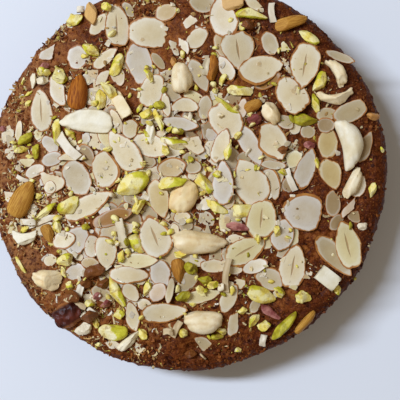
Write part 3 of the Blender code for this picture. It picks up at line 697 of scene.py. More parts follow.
def almond_shape(bm, nut, number):
    """Fine wrinkles along the skin."""
    shift = Vector((number * 2.3, number * 5.1, 0))
    along = bm.verts.layers.float["along"]
    across = bm.verts.layers.float["across"]
    bm.normal_update()
    moved = []
    for vert in bm.verts:
        place = Vector((vert[along] * 1.1, vert[across] * 6.0, vert.co.z * 200)) + shift
        relief = 0.22 * noise.noise(place) + 0.10 * noise.noise(place * 2.5)
        moved.append(vert.co + vert.normal * relief * MM)
    for vert, place in zip(bm.verts, moved):
        vert.co = place


def almond_finish():
    """Skin streaked along the nut, darker down the shaded side, and paler where it is cut or blanched."""
    made = Finish("almond_skin", 0.6, Specular_IOR_Level=0.12)
    tone = made.attribute("tone")
    across = made.attribute("across")
    along = made.attribute("along")
    own = made.attribute("own")
    pair = made.nodes.new("ShaderNodeCombineXYZ")
    made.link(made.math("MULTIPLY", along, 1.2), pair.inputs[0])
    made.link(made.math("MULTIPLY", across, 7.0), pair.inputs[1])
    made.link(own, pair.inputs[2])
    streaks = made.noise(1.6, 4.0, 0.6, pair.outputs[0])
    light = made.mix(tone, *ALMOND_LIGHT)
    dark = made.mix(tone, *ALMOND_DARK)
    base = made.mix(made.between(streaks, 0.38, 0.62), dark, light)
    side = made.between(across, 0.15, -0.85)
    base = made.mix(made.math("MULTIPLY", side, 0.6), base, dark)
    base = made.mix(made.math("MULTIPLY", made.attribute("cut"), 0.2), base, ALMOND_CUT)
    base = made.mix(made.math("MULTIPLY", made.between(tone, -0.1, -1.0), 0.75), base, ALMOND_BLANCHED)
    made.colour(base)
    made.rough(streaks, 0.5, 0.7)
    made.bump(streaks, 0.3 * MM, 0.8)
    return made


almond_mesh = lay_nuts(ALMONDS, almond_shape, nut_ground)
new_piece("almond_halves", almond_mesh, almond_finish(), numbered("almond_half", len(ALMONDS)))

# Pistachio halves and thick slices: pale yellow where the knife went through, bright green at the rim,
# with purple brown skin left on some. They lie as they fell. The tone goes from -1 for skin, over 0 for
# pale, to 1 for green, and the lower tones are for chips of other kinds, which share this material.
PISTACHIO_YELLOW = ((0.83, 0.63, 0.10), (0.92, 0.79, 0.35))
PISTACHIO_RIM = ((0.50, 0.43, 0.012), (0.74, 0.66, 0.050))
PISTACHIO_GREEN = ((0.33, 0.27, 0.008), (0.57, 0.48, 0.028))
PISTACHIO_PALE = ((0.84, 0.68, 0.32), (0.95, 0.84, 0.55))
PISTACHIO_CREASE = (0.36, 0.20, 0.05)
PISTACHIO_SKIN = ((0.24, 0.055, 0.045), (0.50, 0.20, 0.15))
NUT_CHIP = (0.86, 0.72, 0.48)
ALMOND_CHIP = (0.55, 0.25, 0.06)

PISTACHIOS = (
    Nut(133, 184, 18, 11, 28, 6.0, 0.0, 0.1, 0.35, 3),
    Nut(252, 14, 16.5, 6.5, -5, 5.0, -1.2, 0.0, 0.5, 4),
    Nut(240, 91, 14, 6, -8, 4.5, 0.6, 0.0, 0.15, 4),
    Nut(174, 144, 14.5, 6.5, -10, 4.5, 0.6, 0.0, 0.0, 4),
    Nut(69, 205, 12.5, 8.5, 50, 4.5, 0.0, 0.2, 0.5, 5),
    Nut(138, 243, 12, 7.5, -50, 5.0, 0.0, 0.1, 0.5, 4),
    Nut(203, 182, 13.5, 8.5, -50, 5.0, 0.5, 0.0, 0.42, 5),
    Nut(217, 206, 13, 6.5, -35, 4.5, 1.4, 0.15, 0.55, 4),
    Nut(241, 210, 12, 8.5, 15, 5.0, 0.0, 0.0, 0.35, 5),
    Nut(262, 295, 15, 9, -20, 5.5, 0.6, 0.1, 0.45, 5),
    Nut(284, 326, 19, 6, 47, 4.5, 0.8, 0.1, 1.0, 4),
    Nut(271, 313, 12, 5, -35, 4.5, 0.5, 0.1, -1.0, 3),
    Nut(116, 292, 17, 7, -60, 4.5, 0.6, 0.1, 0.4, 5),
    Nut(113, 332, 15, 9, -5, 5.0, 1.0, 0.0, 0.1, 4),
    Nut(306, 120, 13, 7, -5, 5.0, 0.4, 0.1, 1.0, 3),
    Nut(320, 82, 12, 6, 68, 4.5, 0.5, 0.1, 0.55, 5),
    Nut(57, 132, 14, 4.5, -86, 4.0, 0.5, 0.0, 0.45, 3),
    Nut(309, 36, 12, 5.5, -38, 4.0, 0.5, 0.0, 0.3, 5),
    Nut(226, 105, 16, 4.5, -33, 4.0, 0.4, 0.0, 0.75, 4),
    Nut(117, 65, 12, 6, 68, 4.0, 0.4, 0.0, 0.4, 4),
    Nut(173, 183, 15, 7, 10, 4.5, 0.4, 0.3, 0.5, 3),
)


def pistachio_shape(bm, nut, number):
    """Creases, a facet or two from the knife and a split down the middle of some halves."""
    shift = Vector((number * 4.7, number * 1.3, number * 0.7))
    along = bm.verts.layers.float["along"]
    across = bm.verts.layers.float["across"]
    cut = bm.verts.layers.float["cut"]
    bm.normal_update()
    moved = []
    for vert in bm.verts:
        place = Vector((vert[along] * 1.3, vert[across] * 2.6, vert.co.z * 140)) + shift
        relief = 0.40 * noise.noise(place) + 0.22 * noise.noise(place * 2.3)
        facet = abs(noise.noise(place * 0.9 + Vector((5, 5, 5))))
        relief -= 0.9 * max(0.0, 0.12 - facet)
        relief *= 1 - 0.6 * vert[cut]
        moved.append(vert.co + vert.normal * relief * MM)
    for vert, place in zip(bm.verts, moved):
        vert.co = place


def pistachio_finish():
    """Yellow flesh where it is cut, green at the rim, brown in the creases, or the colour of a chip."""
    made = Finish("pistachio_flesh", 0.45, Specular_IOR_Level=0.3)
    tone = made.attribute("tone")
    cut = made.attribute("cut")
    broad = made.noise(190.0, 3.0)
    fine = made.noise(1000.0, 3.0)
    patches = made.between(broad, 0.38, 0.62)
    yellow = made.mix(patches, *PISTACHIO_YELLOW)
    rim = made.mix(patches, *PISTACHIO_RIM)
    green = made.mix(patches, *PISTACHIO_GREEN)
    pale = made.mix(patches, *PISTACHIO_PALE)
    inside = made.mix(made.between(tone, 0.25, 0.0), yellow, pale)
    inside = made.mix(made.between(tone, 0.6, 1.0), inside, green)
    rim = made.mix(made.between(tone, 0.6, 1.0), rim, green)
    base = made.mix(made.between(cut, 0.0, 0.7), rim, inside)
    creases = made.noise(300.0, 2.0)
    base = made.mix(made.math("MULTIPLY", made.between(creases, 0.60, 0.68), 0.55), base, PISTACHIO_CREASE)
    skin = made.mix(made.between(broad, 0.40, 0.60), *PISTACHIO_SKIN)
    base = made.mix(made.between(tone, -0.4, -0.8), base, skin)
    base = made.mix(made.between(tone, -1.4, -1.8), base, NUT_CHIP)
    base = made.mix(made.between(tone, -2.4, -2.8), base, ALMOND_CHIP)
    base = made.mix(made.between(tone, -3.4, -3.8), base, made.mix(broad, CRUST_DARK, CRUST_LIGHT))
    made.colour(base)
    made.rough(fine, 0.36, 0.60)
    made.bump(made.math("ADD", fine, broad), 0.35 * MM, 0.8)
    return made


pistachio_surface = pistachio_finish()
pistachio_mesh = lay_nuts(PISTACHIOS, pistachio_shape, nut_ground)
pistachio_nodes = numbered("pistachio", len(PISTACHIOS))
new_piece("pistachios", pistachio_mesh, pistachio_surface, pistachio_nodes)

# The raisin: a dark dried grape with a deeply wrinkled, slightly glossy skin. It was baked on at the
# lower left, where torn crust clings to its sides.
RAISIN = Nut(67, 315, 15, 13, 30, 5.5, 0.0, 0.0, 0.0, 0)
RAISIN_SIDES = 56
RAISIN_STATIONS = 44
RAISIN_DARK = (0.030, 0.0050, 0.0022)
RAISIN_LIGHT = (0.120, 0.022, 0.009)
RAISIN_RIM = (0.42, 0.15, 0.040)


def raisin_shape(bm, nut, number):
    """Deep folds and small wrinkles all over the skin."""
    bm.normal_update()
    moved = []
    for vert in bm.verts:
        fold = 1 - abs(noise.noise(vert.co * 330 + Vector((3, 1, 4)))) * 2.6
        small = 1 - abs(noise.noise(vert.co * 800)) * 2.6
        moved.append(vert.co + vert.normal * (0.55 * fold + 0.2 * small - 0.5) * MM)
    for vert, place in zip(bm.verts, moved):
        vert.co = place


def raisin_finish():
    """Nearly black brown, redder in patches, and crust brown along both sides."""
    made = Finish("raisin_skin", 0.4, Specular_IOR_Level=0.22)
    broad = made.noise(170.0, 3.0)
    across = made.attribute("across")
    base = made.mix(made.between(broad, 0.3, 0.7), RAISIN_DARK, RAISIN_LIGHT)
    rim = made.between(made.math("ABSOLUTE", across), 0.62, 0.95)
    base = made.mix(made.math("MULTIPLY", rim, 0.85), base, RAISIN_RIM)
    made.colour(base)
    made.rough(broad, 0.28, 0.6)
    made.bump(made.noise(1000.0, 3.0), 0.12 * MM, 0.7)
    return made


raisin_mesh = lay_nuts((RAISIN,), raisin_shape, nut_ground, RAISIN_SIDES, RAISIN_STATIONS)
new_piece("raisin", raisin_mesh, raisin_finish(), ["raisin_01"])

# Almond slices, cut lengthwise about a millimetre thick and baked on, one over the other. Most are
# cream, and thin ones look grey over the dark crust; the colours also hold painted light and shade. A
# row is a slice's place, length, width, turn of its pointed end, outline, colour, side where it has brown
# skin, and whether its halves part in a slit.
SLICE_THICKNESS = 1.1 * MM
SUNK = 0.3 * MM
SCENE_CELL = 0.6 * MM
SLICE_CORNERS = 32
SLICE_RINGS = (1.0, 0.972, 0.93, 0.86, 0.8, 0.6, 0.3)
PLAIN_CORNERS = 24
PLAIN_RINGS = (1.0, 0.96, 0.84, 0.5)
BLUNT_END = 0.5
POINTED_END = 0.74
ROUND_END = 0.55
EDGE_WAVE = 0.07
RAGGED_WAVE = 0.14
SNAPPED_AT = 0.66
SPLIT_AT = -0.3
LOWER_THINNER = 0.5
LOWER_FLATTER = 0.3
WARP = (-1.0, 1.9)
TWIST = (-0.8, 0.8)
WAVE = 0.16 * MM
EDGE_DROP = 0.14 * MM
LIGHTER = (0.93, 1.04)
SKIN_SHARE = 0.80
THIN_SKIN = 0.74
THICK_SKIN = 2.1
SKIN_PEAK = 3.1
SKIN_FADE = 0.5
RANDOM_SEED = 11

Slice = collections.namedtuple("Slice", "u v length width turn form colour skin slit")
SLICES = (
    Slice(11, 151, 8, 4.5, 10, "ragged", "white", None, False),
    Slice(26, 162, 8, 6, 0, "ragged", "yellow", None, False),
    Slice(235, 270, 8, 4.5, 0, "oval", "cream", None, False),
    Slice(145, 305, 8, 6, -30, "oval", "cream", None, False),
    Slice(255, 306, 8, 5, 60, "oval", "shade", None, False),
    Slice(308, 132, 8, 7, 0, "oval", "shade", None, False),
    Slice(190, 21, 8.5, 7.5, 30, "ragged", "white", None, False),
    Slice(154, 177, 6, 5, 0, "oval", "shade", None, False),
    Slice(187, 225, 6.5, 5.5, 0, "oval", "shade", None, False),
    Slice(79, 257, 4.5, 4.5, 0, "oval", "cream", None, False),
    Slice(203, 3, 15, 9, -10, "oval", "shade", None, False),
    Slice(256, 4, 13, 6, -20, "ragged", "cream", None, False),
    Slice(128, 9, 9, 5, -55, "oval", "shade", None, False),
    Slice(166, 12, 12, 9, 20, "oval", "tan", -60, False),
    Slice(139, 62, 23, 14, 100, "tip", "lavender", None, False),
    Slice(152, 91, 18, 12, 65, "oval", "cream", None, False),
    Slice(158, 61, 11, 5, -52, "oval", "shade", 200, False),
    Slice(199, 76, 19, 8, -63, "tip", "grey", None, False),
    Slice(197, 38, 13.5, 9, 40, "oval", "cream", None, False),
    Slice(183, 45, 11, 5, -70, "ragged", "white", None, False),
    Slice(222, 45, 15, 8, -75, "oval", "tan", 0, False),
    Slice(270, 43, 13, 8.5, -70, "oval", "grey", None, False),
    Slice(226, 69, 14, 7, -58, "oval", "white", None, False),
    Slice(268, 81, 15, 7, 25, "oval", "brown", -60, False),
    Slice(285, 122, 9, 7, -30, "oval", "shade", None, False),
    Slice(205, 107, 13, 7, 80, "oval", "grey", None, False),
    Slice(242, 109, 11, 5, 78, "oval", "pink", None, False),
    Slice(250, 145, 24, 10, -60, "tip", "lavender", None, False),
    Slice(193, 145, 13, 10, -30, "ragged", "cream", None, False),
    Slice(193, 167, 9, 7, 0, "oval", "shade", None, False),
    Slice(147, 161, 10, 7, -20, "oval", "shade", None, False),
    Slice(270, 183, 17, 10, -75, "oval", "grey", 60, False),
    Slice(273, 165, 13, 4.5, -5, "oval", "grey", None, False),
    Slice(327, 114, 11, 7, 10, "oval", "shade", None, False),
    Slice(365, 147, 17, 7.5, 65, "tip", "dusk", None, False),
    Slice(333, 203, 14, 8, 90, "oval", "dusk", None, False),
    Slice(337, 222, 10, 6, 55, "oval", "dusk", None, False),
    Slice(355, 216, 9, 6.5, -35, "ragged", "dusk", None, False),
    Slice(334, 256, 26, 11, -48, "tip", "shade", -130, False),
    Slice(229, 200, 9, 6, 80, "oval", "tan", None, False),
    Slice(77, 178, 19, 14.5, -60, "oval", "grey", None, False),
    Slice(87, 155, 13, 7, -60, "oval", "dusk", 120, False),
    Slice(50, 145, 11, 7, -50, "oval", "lavender", None, False),
    Slice(52, 159, 12, 7, 20, "oval", "lavender", None, False),
    Slice(18, 130, 11, 3.5, 85, "oval", "cream", None, False),
    Slice(35, 171, 11, 6.5, 28, "oval", "white", -40, False),
    Slice(159, 199, 20, 11, -75, "tip", "olive", None, False),
    Slice(117, 230, 19, 10, 15, "oval", "grey", None, False),
    Slice(114, 217, 22, 8, 20, "tip", "brown", None, False),
    Slice(77, 240, 15, 13, 60, "oval", "lavender", None, False),
    Slice(92, 246, 12, 7.5, 85, "oval", "white", None, False),
    Slice(106, 253, 17, 11, -85, "tip", "cream", None, False),
    Slice(75, 272, 11, 8, 30, "oval", "lavender", None, False),
    Slice(90, 263, 9, 6, 0, "oval", "tan", -80, False),
    Slice(130, 275, 21, 9, -3, "tip", "cream", -90, False),
    Slice(161, 274, 15, 11, -75, "oval", "lavender", None, False),
    Slice(175, 231, 9, 4.5, 88, "oval", "cream", None, False),
    Slice(182, 217, 9, 6, 10, "oval", "cream", None, False),
    Slice(214, 266, 14, 7, -5, "oval", "cream", None, False),
    Slice(236, 284, 11, 7, 10, "ragged", "cream", -90, False),
    Slice(269, 279, 16, 11.5, -25, "oval", "grey", 120, False),
    Slice(103, 295, 14, 7, -30, "oval", "shade", None, False),
    Slice(131, 292, 11, 7.5, -50, "oval", "cream", None, False),
    Slice(158, 292, 11, 8, 60, "oval", "pink", None, False),
    Slice(170, 290, 14, 4, 80, "oval", "cream", None, False),
    Slice(229, 298, 16, 8, 65, "oval", "cream", None, False),
    Slice(202, 296, 20, 7, 12, "tip", "yellow", None, False),
    Slice(102, 79, 13, 6, 45, "ragged", "white", None, False),
    Slice(112, 344, 9, 6, 0, "ragged", "white", None, False),
    Slice(99, 24, 13, 7, 51, "oval", "cream", None, False),
    Slice(48, 52, 13, 6.5, 38, "ragged", "lavender", None, False),
    Slice(105, 58, 16, 6.5, 42, "tip", "cream", None, False),
    Slice(77, 57, 12.5, 10.5, 95, "oval", "lavender", None, False),
    Slice(223, 17, 21, 14, 110, "tip", "white", None, False),
    Slice(238, 50, 21, 16.5, -82, "tip", "cream", None, True),
    Slice(151, 146, 19, 12, -20, "oval", "cream", None, False),
    Slice(185, 108, 14, 10, 0, "half", "cream", None, False),
    Slice(180, 124, 19, 7, -12, "oval", "lavender", None, False),
    Slice(166, 105, 13, 4.5, 100, "oval", "cream", 180, False),
    Slice(172, 168, 15, 10, 12, "oval", "tan", 90, False),
    Slice(226, 121, 20, 16.5, -50, "oval", "cream", None, False),
    Slice(250, 182, 25, 17, 115, "tip", "cream", None, False),
    Slice(223, 182, 23, 10.5, 88, "tip", "lavender", None, False),
    Slice(328, 142, 17, 10.5, 82, "tip", "olive", None, False),
    Slice(326, 125, 9, 8, 0, "oval", "dusk", 90, False),
    Slice(331, 174, 17, 11, -72, "tip", "olive", None, False),
    Slice(305, 169, 22.5, 10, 70, "tip", "lavender", None, False),
    Slice(341, 56, 16, 5, -17, "oval", "grey", None, False),
    Slice(352, 111, 22, 10.5, 25, "snapped", "shade", None, False),
    Slice(360, 186, 13, 7, 65, "ragged", "white", None, False),
    Slice(350, 208, 13, 6, 55, "ragged", "pink", None, False),
    Slice(139, 261, 21, 8, 3, "tip", "yellow", None, False),
    Slice(245, 251, 23, 14, 30, "tip", "yellow", -60, True),
    Slice(282, 235, 17, 12, 78, "oval", "lavender", None, False),
    Slice(255, 266, 13, 7, 20, "oval", "white", None, False),
    Slice(204, 345, 12, 6.5, -35, "ragged", "shade", None, False),
    Slice(132, 316, 16, 7, 100, "tip", "cream", None, False),
    Slice(139, 349, 9, 5.5, -35, "ragged", "cream", None, False),
    Slice(234, 323, 17, 6, 80, "ragged", "grey", None, False),
    Slice(57, 90, 17, 8, 112, "tip", "white", None, False),
    Slice(41, 110, 23, 11.5, 93, "tip", "cream", None, True),
    Slice(51, 183, 16.5, 14.5, 70, "ragged", "cream", None, False),
    Slice(72, 158, 14, 6.5, 0, "half", "cream", 90, False),
    Slice(117, 121, 14, 4.5, -62, "oval", "cream", None, False),
    Slice(131, 129, 10, 8.5, 75, "oval", "cream", 20, False),
    Slice(117, 25, 23, 12.5, 94, "tip", "cream", None, True),
    Slice(150, 33, 23, 16.5, -8, "snapped", "cream", None, False),
    Slice(261, 69, 23, 15, 18, "tip", "cream", -110, False),
    Slice(293, 97, 23, 15.5, -50, "snapped", "cream", None, False),
    Slice(305, 65, 24, 15.5, -100, "tip", "cream", None, True),
    Slice(272, 142, 21, 15.5, -60, "tip", "cream", 215, False),
    Slice(125, 152, 26, 13, 125, "tip", "cream", None, False),
    Slice(221, 146, 20, 8.5, 72, "tip", "cream", None, False),
    Slice(261, 218, 21, 16, 85, "oval", "yellow", None, True),
    Slice(155, 236, 22, 16, 112, "tip", "cream", 60, True),
    Slice(348, 245, 25.5, 13.5, 105, "tip", "yellow", None, True),
    Slice(305, 212, 23, 19, -10, "snapped", "lavender", 100, False),
    Slice(293, 266, 23, 14, 80, "tip", "cream", None, True),
    Slice(164, 313, 24, 11, 6, "tip", "cream", 235, False),
    Slice(88, 206, 27, 11, 30, "tip", "cream", -60, False),
    Slice(64, 240, 12, 8.5, 15, "oval", "cream", -70, False),
    Slice(105, 169, 19, 15, 92, "tip", "cream", 0, False),
    Slice(42, 222, 18, 5, 22, "half", "white", None, False),
    Slice(50, 260, 7, 7, 90, "tip", "cream", None, False),
    Slice(50, 187, 7, 6, 90, "oval", "cream", None, False),
)
Patch = collections.namedtuple("Patch", "u v wide high")
BARE_PATCHES = (
    Patch(25, 295, 36, 42),
    Patch(60, 42, 26, 16),
    Patch(18, 90, 20, 30),
    Patch(262, 45, 15, 12),
    Patch(240, 78, 10, 12),
    Patch(64, 315, 20, 16),
    Patch(165, 335, 40, 12),
    Patch(312, 190, 10, 22),
    Patch(318, 240, 14, 22),
    Patch(300, 245, 10, 14),
    Patch(285, 20, 30, 10),
    Patch(350, 100, 22, 30),
    Patch(190, 24, 12, 8),
    Patch(262, 252, 12, 12),
)
BARE_RIM = 0.955
OUTER_RING = 0.86
BARE_ARCS = ((-150, -75), (-75, 62))
LOW_SHARDS = 140
LOW_SHARD_SIZES = (5.0, 11.0)
HIGH_SHARDS = 150
HIGH_SHARD_SIZES = (2.2, 5.0)
SPARSE_ABOVE, SPARSE_RIGHT, SPARSE_BELOW = 50, 300, 300
SPARSE_SHARE = 0.35
UNDER_U, UNDER_V = 172, 178
UNDER_REACH = 138
UNDER_STEP = 20
UNDER_OFF = 6
UNDER_ROWS = 16
UNDER_SIZES = (9, 18)
# Painted light: "white" partly stands for slices that lie in full light.
# Painted shade: "grey", "lavender", "olive", "shade", "brown" and the darkest tint stand for slices in
# shadow.
SLICE_COLOURS = {
    "cream": (0.770, 0.645, 0.425),
    "white": (0.820, 0.710, 0.530),
    "grey": (0.610, 0.500, 0.330),
    "lavender": (0.650, 0.560, 0.440),
    "tan": (0.650, 0.490, 0.275),
    "yellow": (0.760, 0.640, 0.350),
    "pink": (0.760, 0.600, 0.440),
    "olive": (0.590, 0.440, 0.200),
    "shade": (0.500, 0.390, 0.225),
    "dusk": (0.380, 0.260, 0.130),
    "brown": (0.360, 0.170, 0.040),
}
SHARD_MIX = {"grey": 3, "lavender": 2, "cream": 4, "white": 4, "yellow": 5, "tan": 3}
# Painted shade: the lower slices lie in the shadow of those above, so they get mostly the darker tints.
UNDER_MIX = {"grey": 4, "shade": 5, "cream": 3, "yellow": 3, "tan": 4, "dusk": 3}
SLICE_MOTTLE = (0.92, 0.88, 0.80)
SLICE_MIDDLE = (0.94, 0.88, 0.72)
SLICE_RIM = (0.93, 0.89, 0.77)
SLIT_BROWN = (0.40, 0.22, 0.08)
SLICE_SKIN = ((0.52, 0.215, 0.045), (0.36, 0.125, 0.024))
SLICE_SPOT = (0.34, 0.22, 0.10)


def slice_outline(piece, draw, corners):
    """An almond slice seen flat: round at one end, often pointed at the other, and broken in places."""
    blunt, sharp = BLUNT_END, POINTED_END if piece.form == "tip" else ROUND_END
    widest = (blunt - sharp) / (blunt + sharp)
    most = (1 + widest) ** blunt * (1 - widest) ** sharp
    seed = draw.uniform(0, 90)
    torn = piece.form in ("ragged", "shard")
    wild = RAGGED_WAVE if torn else EDGE_WAVE
    first = draw.uniform(0, math.tau)
    if torn:
        breaks = [(first + k * draw.uniform(1.2, 2.2), draw.uniform(0.45, 0.8)) for k in range(3)]
    else:
        breaks = [(first, draw.uniform(0.78, 1.05))]
    points = []
    for i in range(corners):
        angle = math.tau * (i + 0.5) / corners
        along = math.cos(angle)
        across = math.copysign((1 + along) ** blunt * (1 - along) ** sharp / most, math.sin(angle))
        low = noise.noise(Vector((1.3 * math.cos(angle), 1.3 * math.sin(angle), seed)))
        fine = noise.noise(Vector((5 * math.cos(angle), 5 * math.sin(angle), seed)))
        rough = 1 + 1.6 * wild * low + 0.6 * wild * fine
        x, y = along * rough, across * rough
        for side, keep in breaks:
            over = x * math.cos(side) + y * math.sin(side) - keep - 0.10 * fine
            if over > 0:
                x -= over * math.cos(side)
                y -= over * math.sin(side)
        if piece.form == "snapped" and x > SNAPPED_AT:
            x = SNAPPED_AT + 0.10 * noise.noise(Vector((9 * y, seed, 0))) + 0.15 * (x - SNAPPED_AT)
        if piece.form == "half" and y < SPLIT_AT:
            y = SPLIT_AT - 0.02 + 0.12 * noise.noise(Vector((7 * x, seed, 0))) + 0.1 * (y - SPLIT_AT)
        points.append((x * piece.length * MM / 2, y * piece.width * MM / 2))
    return points


def slice_mesh(piece, draw, corners, rings):
    """The outline raised to its thickness, its upper edge rounded by ever smaller copies, then warped."""
    bm = bmesh.new()
    skin = bm.verts.layers.float.new("skin")
    own = bm.verts.layers.float.new("own")
    slit = bm.verts.layers.float.new("slit")
    tint = bm.verts.layers.float_color.new("tint")
    flat = bm.loops.layers.uv.new("flat")
    face = bm.faces.new([bm.verts.new((x, y, 0)) for x, y in slice_outline(piece, draw, corners)])
    raised = bmesh.ops.extrude_face_region(bm, geom=[face])["geom"]
    top = next(f for f in raised if isinstance(f, bmesh.types.BMFace))
    lower = piece.form == "under"
    thick = SLICE_THICKNESS * (LOWER_THINNER if lower else min(1.0, 0.3 + piece.length / 20))
    bmesh.ops.translate(bm, vec=(0, 0, thick), verts=top.verts)
    side = math.radians((piece.skin or 0.0) - piece.turn)
    for vert in bm.verts:
        vert[skin] = 0.0 if piece.form == "shard" else THIN_SKIN
        if piece.skin is not None:
            angle = math.atan2(vert.co.y / piece.width, vert.co.x / piece.length)
            away = abs((angle - side + math.pi) % math.tau - math.pi)
            vert[skin] = max(THIN_SKIN, min(THICK_SKIN, SKIN_PEAK - away / SKIN_FADE))
    for last, share in zip(rings, rings[1:]):
        kept = max(0.0, (share - SKIN_SHARE) / (last - SKIN_SHARE)) if last > SKIN_SHARE else 0.0
        top = bmesh.ops.extrude_discrete_faces(bm, faces=[top])["faces"][0]
        bmesh.ops.scale(bm, vec=(share / last, share / last, 1), verts=top.verts)
        for vert in top.verts:
            vert[skin] *= kept
    bmesh.ops.recalc_face_normals(bm, faces=bm.faces)
    warp = draw.uniform(*WARP) * MM * (LOWER_FLATTER if lower else 1.0)
    twist = draw.uniform(*TWIST) * MM
    seed = draw.uniform(0, 90)
    number = draw.uniform(0, 40)
    lighter = draw.uniform(*LIGHTER)
    colour = [min(1.0, c * lighter) for c in SLICE_COLOURS[piece.colour]]
    for vert in bm.verts:
        x, y = vert.co.x / (piece.length * MM / 2), vert.co.y / (piece.width * MM / 2)
        upper = vert.co.z > thick / 2
        vert.co.z += warp * (x * x - 0.3) * piece.length / 24 + twist * x * y
        vert.co.z += WAVE * noise.noise(Vector((x * 1.5, y * 1.5, seed)))
        if upper:
            vert.co.z -= EDGE_DROP * min(1.0, math.hypot(x, y)) ** 8
        vert[tint] = (*colour, 1.0)
        vert[own] = number
        vert[slit] = 1.0 if piece.slit else 0.0
    for face in bm.faces:
        for loop in face.loops:
            x, y = loop.vert.co.x / (piece.length * MM / 2), loop.vert.co.y / (piece.width * MM / 2)
            loop[flat].uv = (0.5 + 0.5 * x, 0.5 + 0.5 * y)
    return bm


def slice_finish():
    """Waxy ivory with a faint darker middle, a slit in some, and the brown skin along the edge."""
    made = Finish("almond_flesh", 0.45, Specular_IOR_Level=0.3)
    uv = made.nodes.new("ShaderNodeUVMap")
    uv.uv_map = "flat"
    parts = made.nodes.new("ShaderNodeSeparateXYZ")
    made.link(uv.outputs[0], parts.inputs[0])
    along = made.math("MULTIPLY_ADD", parts.outputs[0], 2.0, -1.0)
    across = made.math("MULTIPLY_ADD", parts.outputs[1], 2.0, -1.0)
    far = made.math("ADD", made.math("POWER", along, 2.0), made.math("POWER", across, 2.0))
    far = made.math("SQRT", far)
    mottle = made.noise(240.0, 4.0)
    fine = made.noise(900.0, 3.0)
    uneven = made.math("SUBTRACT", mottle, 0.5)
    tint = made.attribute("tint", "Color")
    mottled = made.mix(1.0, tint, SLICE_MOTTLE, "MULTIPLY")
    base = made.mix(made.between(mottle, 0.30, 0.72), tint, mottled)
    wobble = made.math("MULTIPLY_ADD", uneven, 0.45, far)
    inner = made.between(wobble, 0.75, 0.35)
    middle = made.mix(1.0, base, SLICE_MIDDLE, "MULTIPLY")
    base = made.mix(made.math("MULTIPLY", inner, 0.55), base, middle)
    pale_rim = made.math("MULTIPLY", made.between(wobble, 0.70, 0.86), made.between(wobble, 1.05, 0.90))
    base = made.mix(made.math("MULTIPLY", pale_rim, 0.22), base, SLICE_RIM)
    ends = made.math("POWER", made.math("MULTIPLY", along, 1.9), 2.0)
    lens = made.math("MULTIPLY", made.math("SUBTRACT", 1.0, ends), 0.085)
    off = made.math("ABSOLUTE", made.math("MULTIPLY_ADD", uneven, 0.10, across))
    slit = made.between(made.math("SUBTRACT", lens, off), -0.02, 0.05)
    slit = made.math("MULTIPLY", slit, made.attribute("slit"))
    base = made.mix(made.math("MULTIPLY", slit, 0.8), base, SLIT_BROWN)
    skin = made.between(made.math("MULTIPLY_ADD", uneven, 1.1, made.attribute("skin")), 0.34, 0.62)
    base = made.mix(skin, base, made.mix(made.between(mottle, 0.35, 0.65), *SLICE_SKIN))
    spots = made.noise(1500.0, 2.0)
    base = made.mix(made.math("MULTIPLY", made.between(spots, 0.69, 0.74), 0.5), base, SLICE_SPOT)
    made.colour(base)
    made.rough(mottle, 0.36, 0.58)
    made.bump(made.math("SUBTRACT", made.math("MULTIPLY", fine, 0.3), slit), 0.35 * MM, 0.7)
    return made


def in_bare_patch(u, v):
    """Whether the crust is left bare here: all round the rim, wider right and below, and in patches."""
    x, y = on_top(u, v)
    out = math.hypot(x, y) / CAKE_RADIUS
    azimuth = math.degrees(math.atan2(y, x))
    if out > BARE_RIM or (out > OUTER_RING and any(low < azimuth < high for low, high in BARE_ARCS)):
        return True
    return any(((u - p.u) / p.wide) ** 2 + ((v - p.v) / p.high) ** 2 < 1 for p in BARE_PATCHES)


def shards(count, sizes, draw):
    """Broken bits of slice, thrown over the top but for the bare patches."""
    made = []
    while len(made) < count:
        u, v = draw.uniform(0, VIEW_PIXELS), draw.uniform(0, VIEW_PIXELS)
        if in_bare_patch(u, v):
            continue
        sparse = v < SPARSE_ABOVE or u > SPARSE_RIGHT or v > SPARSE_BELOW
        if draw.random() > (SPARSE_SHARE if sparse else 1.0):
            continue
        length = draw.uniform(*sizes)
        colour = draw.choices(list(SHARD_MIX), list(SHARD_MIX.values()))[0]
        width = length * draw.uniform(0.5, 0.9)
        made.append(Slice(u, v, length, width, draw.uniform(-180, 180), "shard", colour, None, False))
    return made


def under_slices(draw):
    """The lower layers in the middle, close together and mostly covered by the slices above."""
    made = []
    for row in range(UNDER_ROWS):
        for column in range(UNDER_ROWS):
            u = UNDER_U + UNDER_STEP * (column - UNDER_ROWS / 2) + draw.uniform(-UNDER_OFF, UNDER_OFF)
            v = UNDER_V + UNDER_STEP * (row - UNDER_ROWS / 2) + draw.uniform(-UNDER_OFF, UNDER_OFF)
            out = math.hypot(u - UNDER_U, v - UNDER_V) / UNDER_REACH
            if out > 1 or draw.random() < out**3 or in_bare_patch(u, v):
                continue
            length = draw.uniform(*UNDER_SIZES)
            colour = draw.choices(list(UNDER_MIX), list(UNDER_MIX.values()))[0]
            width = length * draw.uniform(0.5, 0.75)
            made.append(Slice(u, v, length, width, draw.uniform(-180, 180), "under", colour, None, False))
    return made


def lay_on(ground, piece, bm, whole):
    """Settles a piece on what lies there, pressed in a little, and adds it to the whole."""
    if ground.settle(bm, on_top(piece.u, piece.v), piece.turn, -SUNK):
        ground.cover(bm)
        add_to(whole, bm)


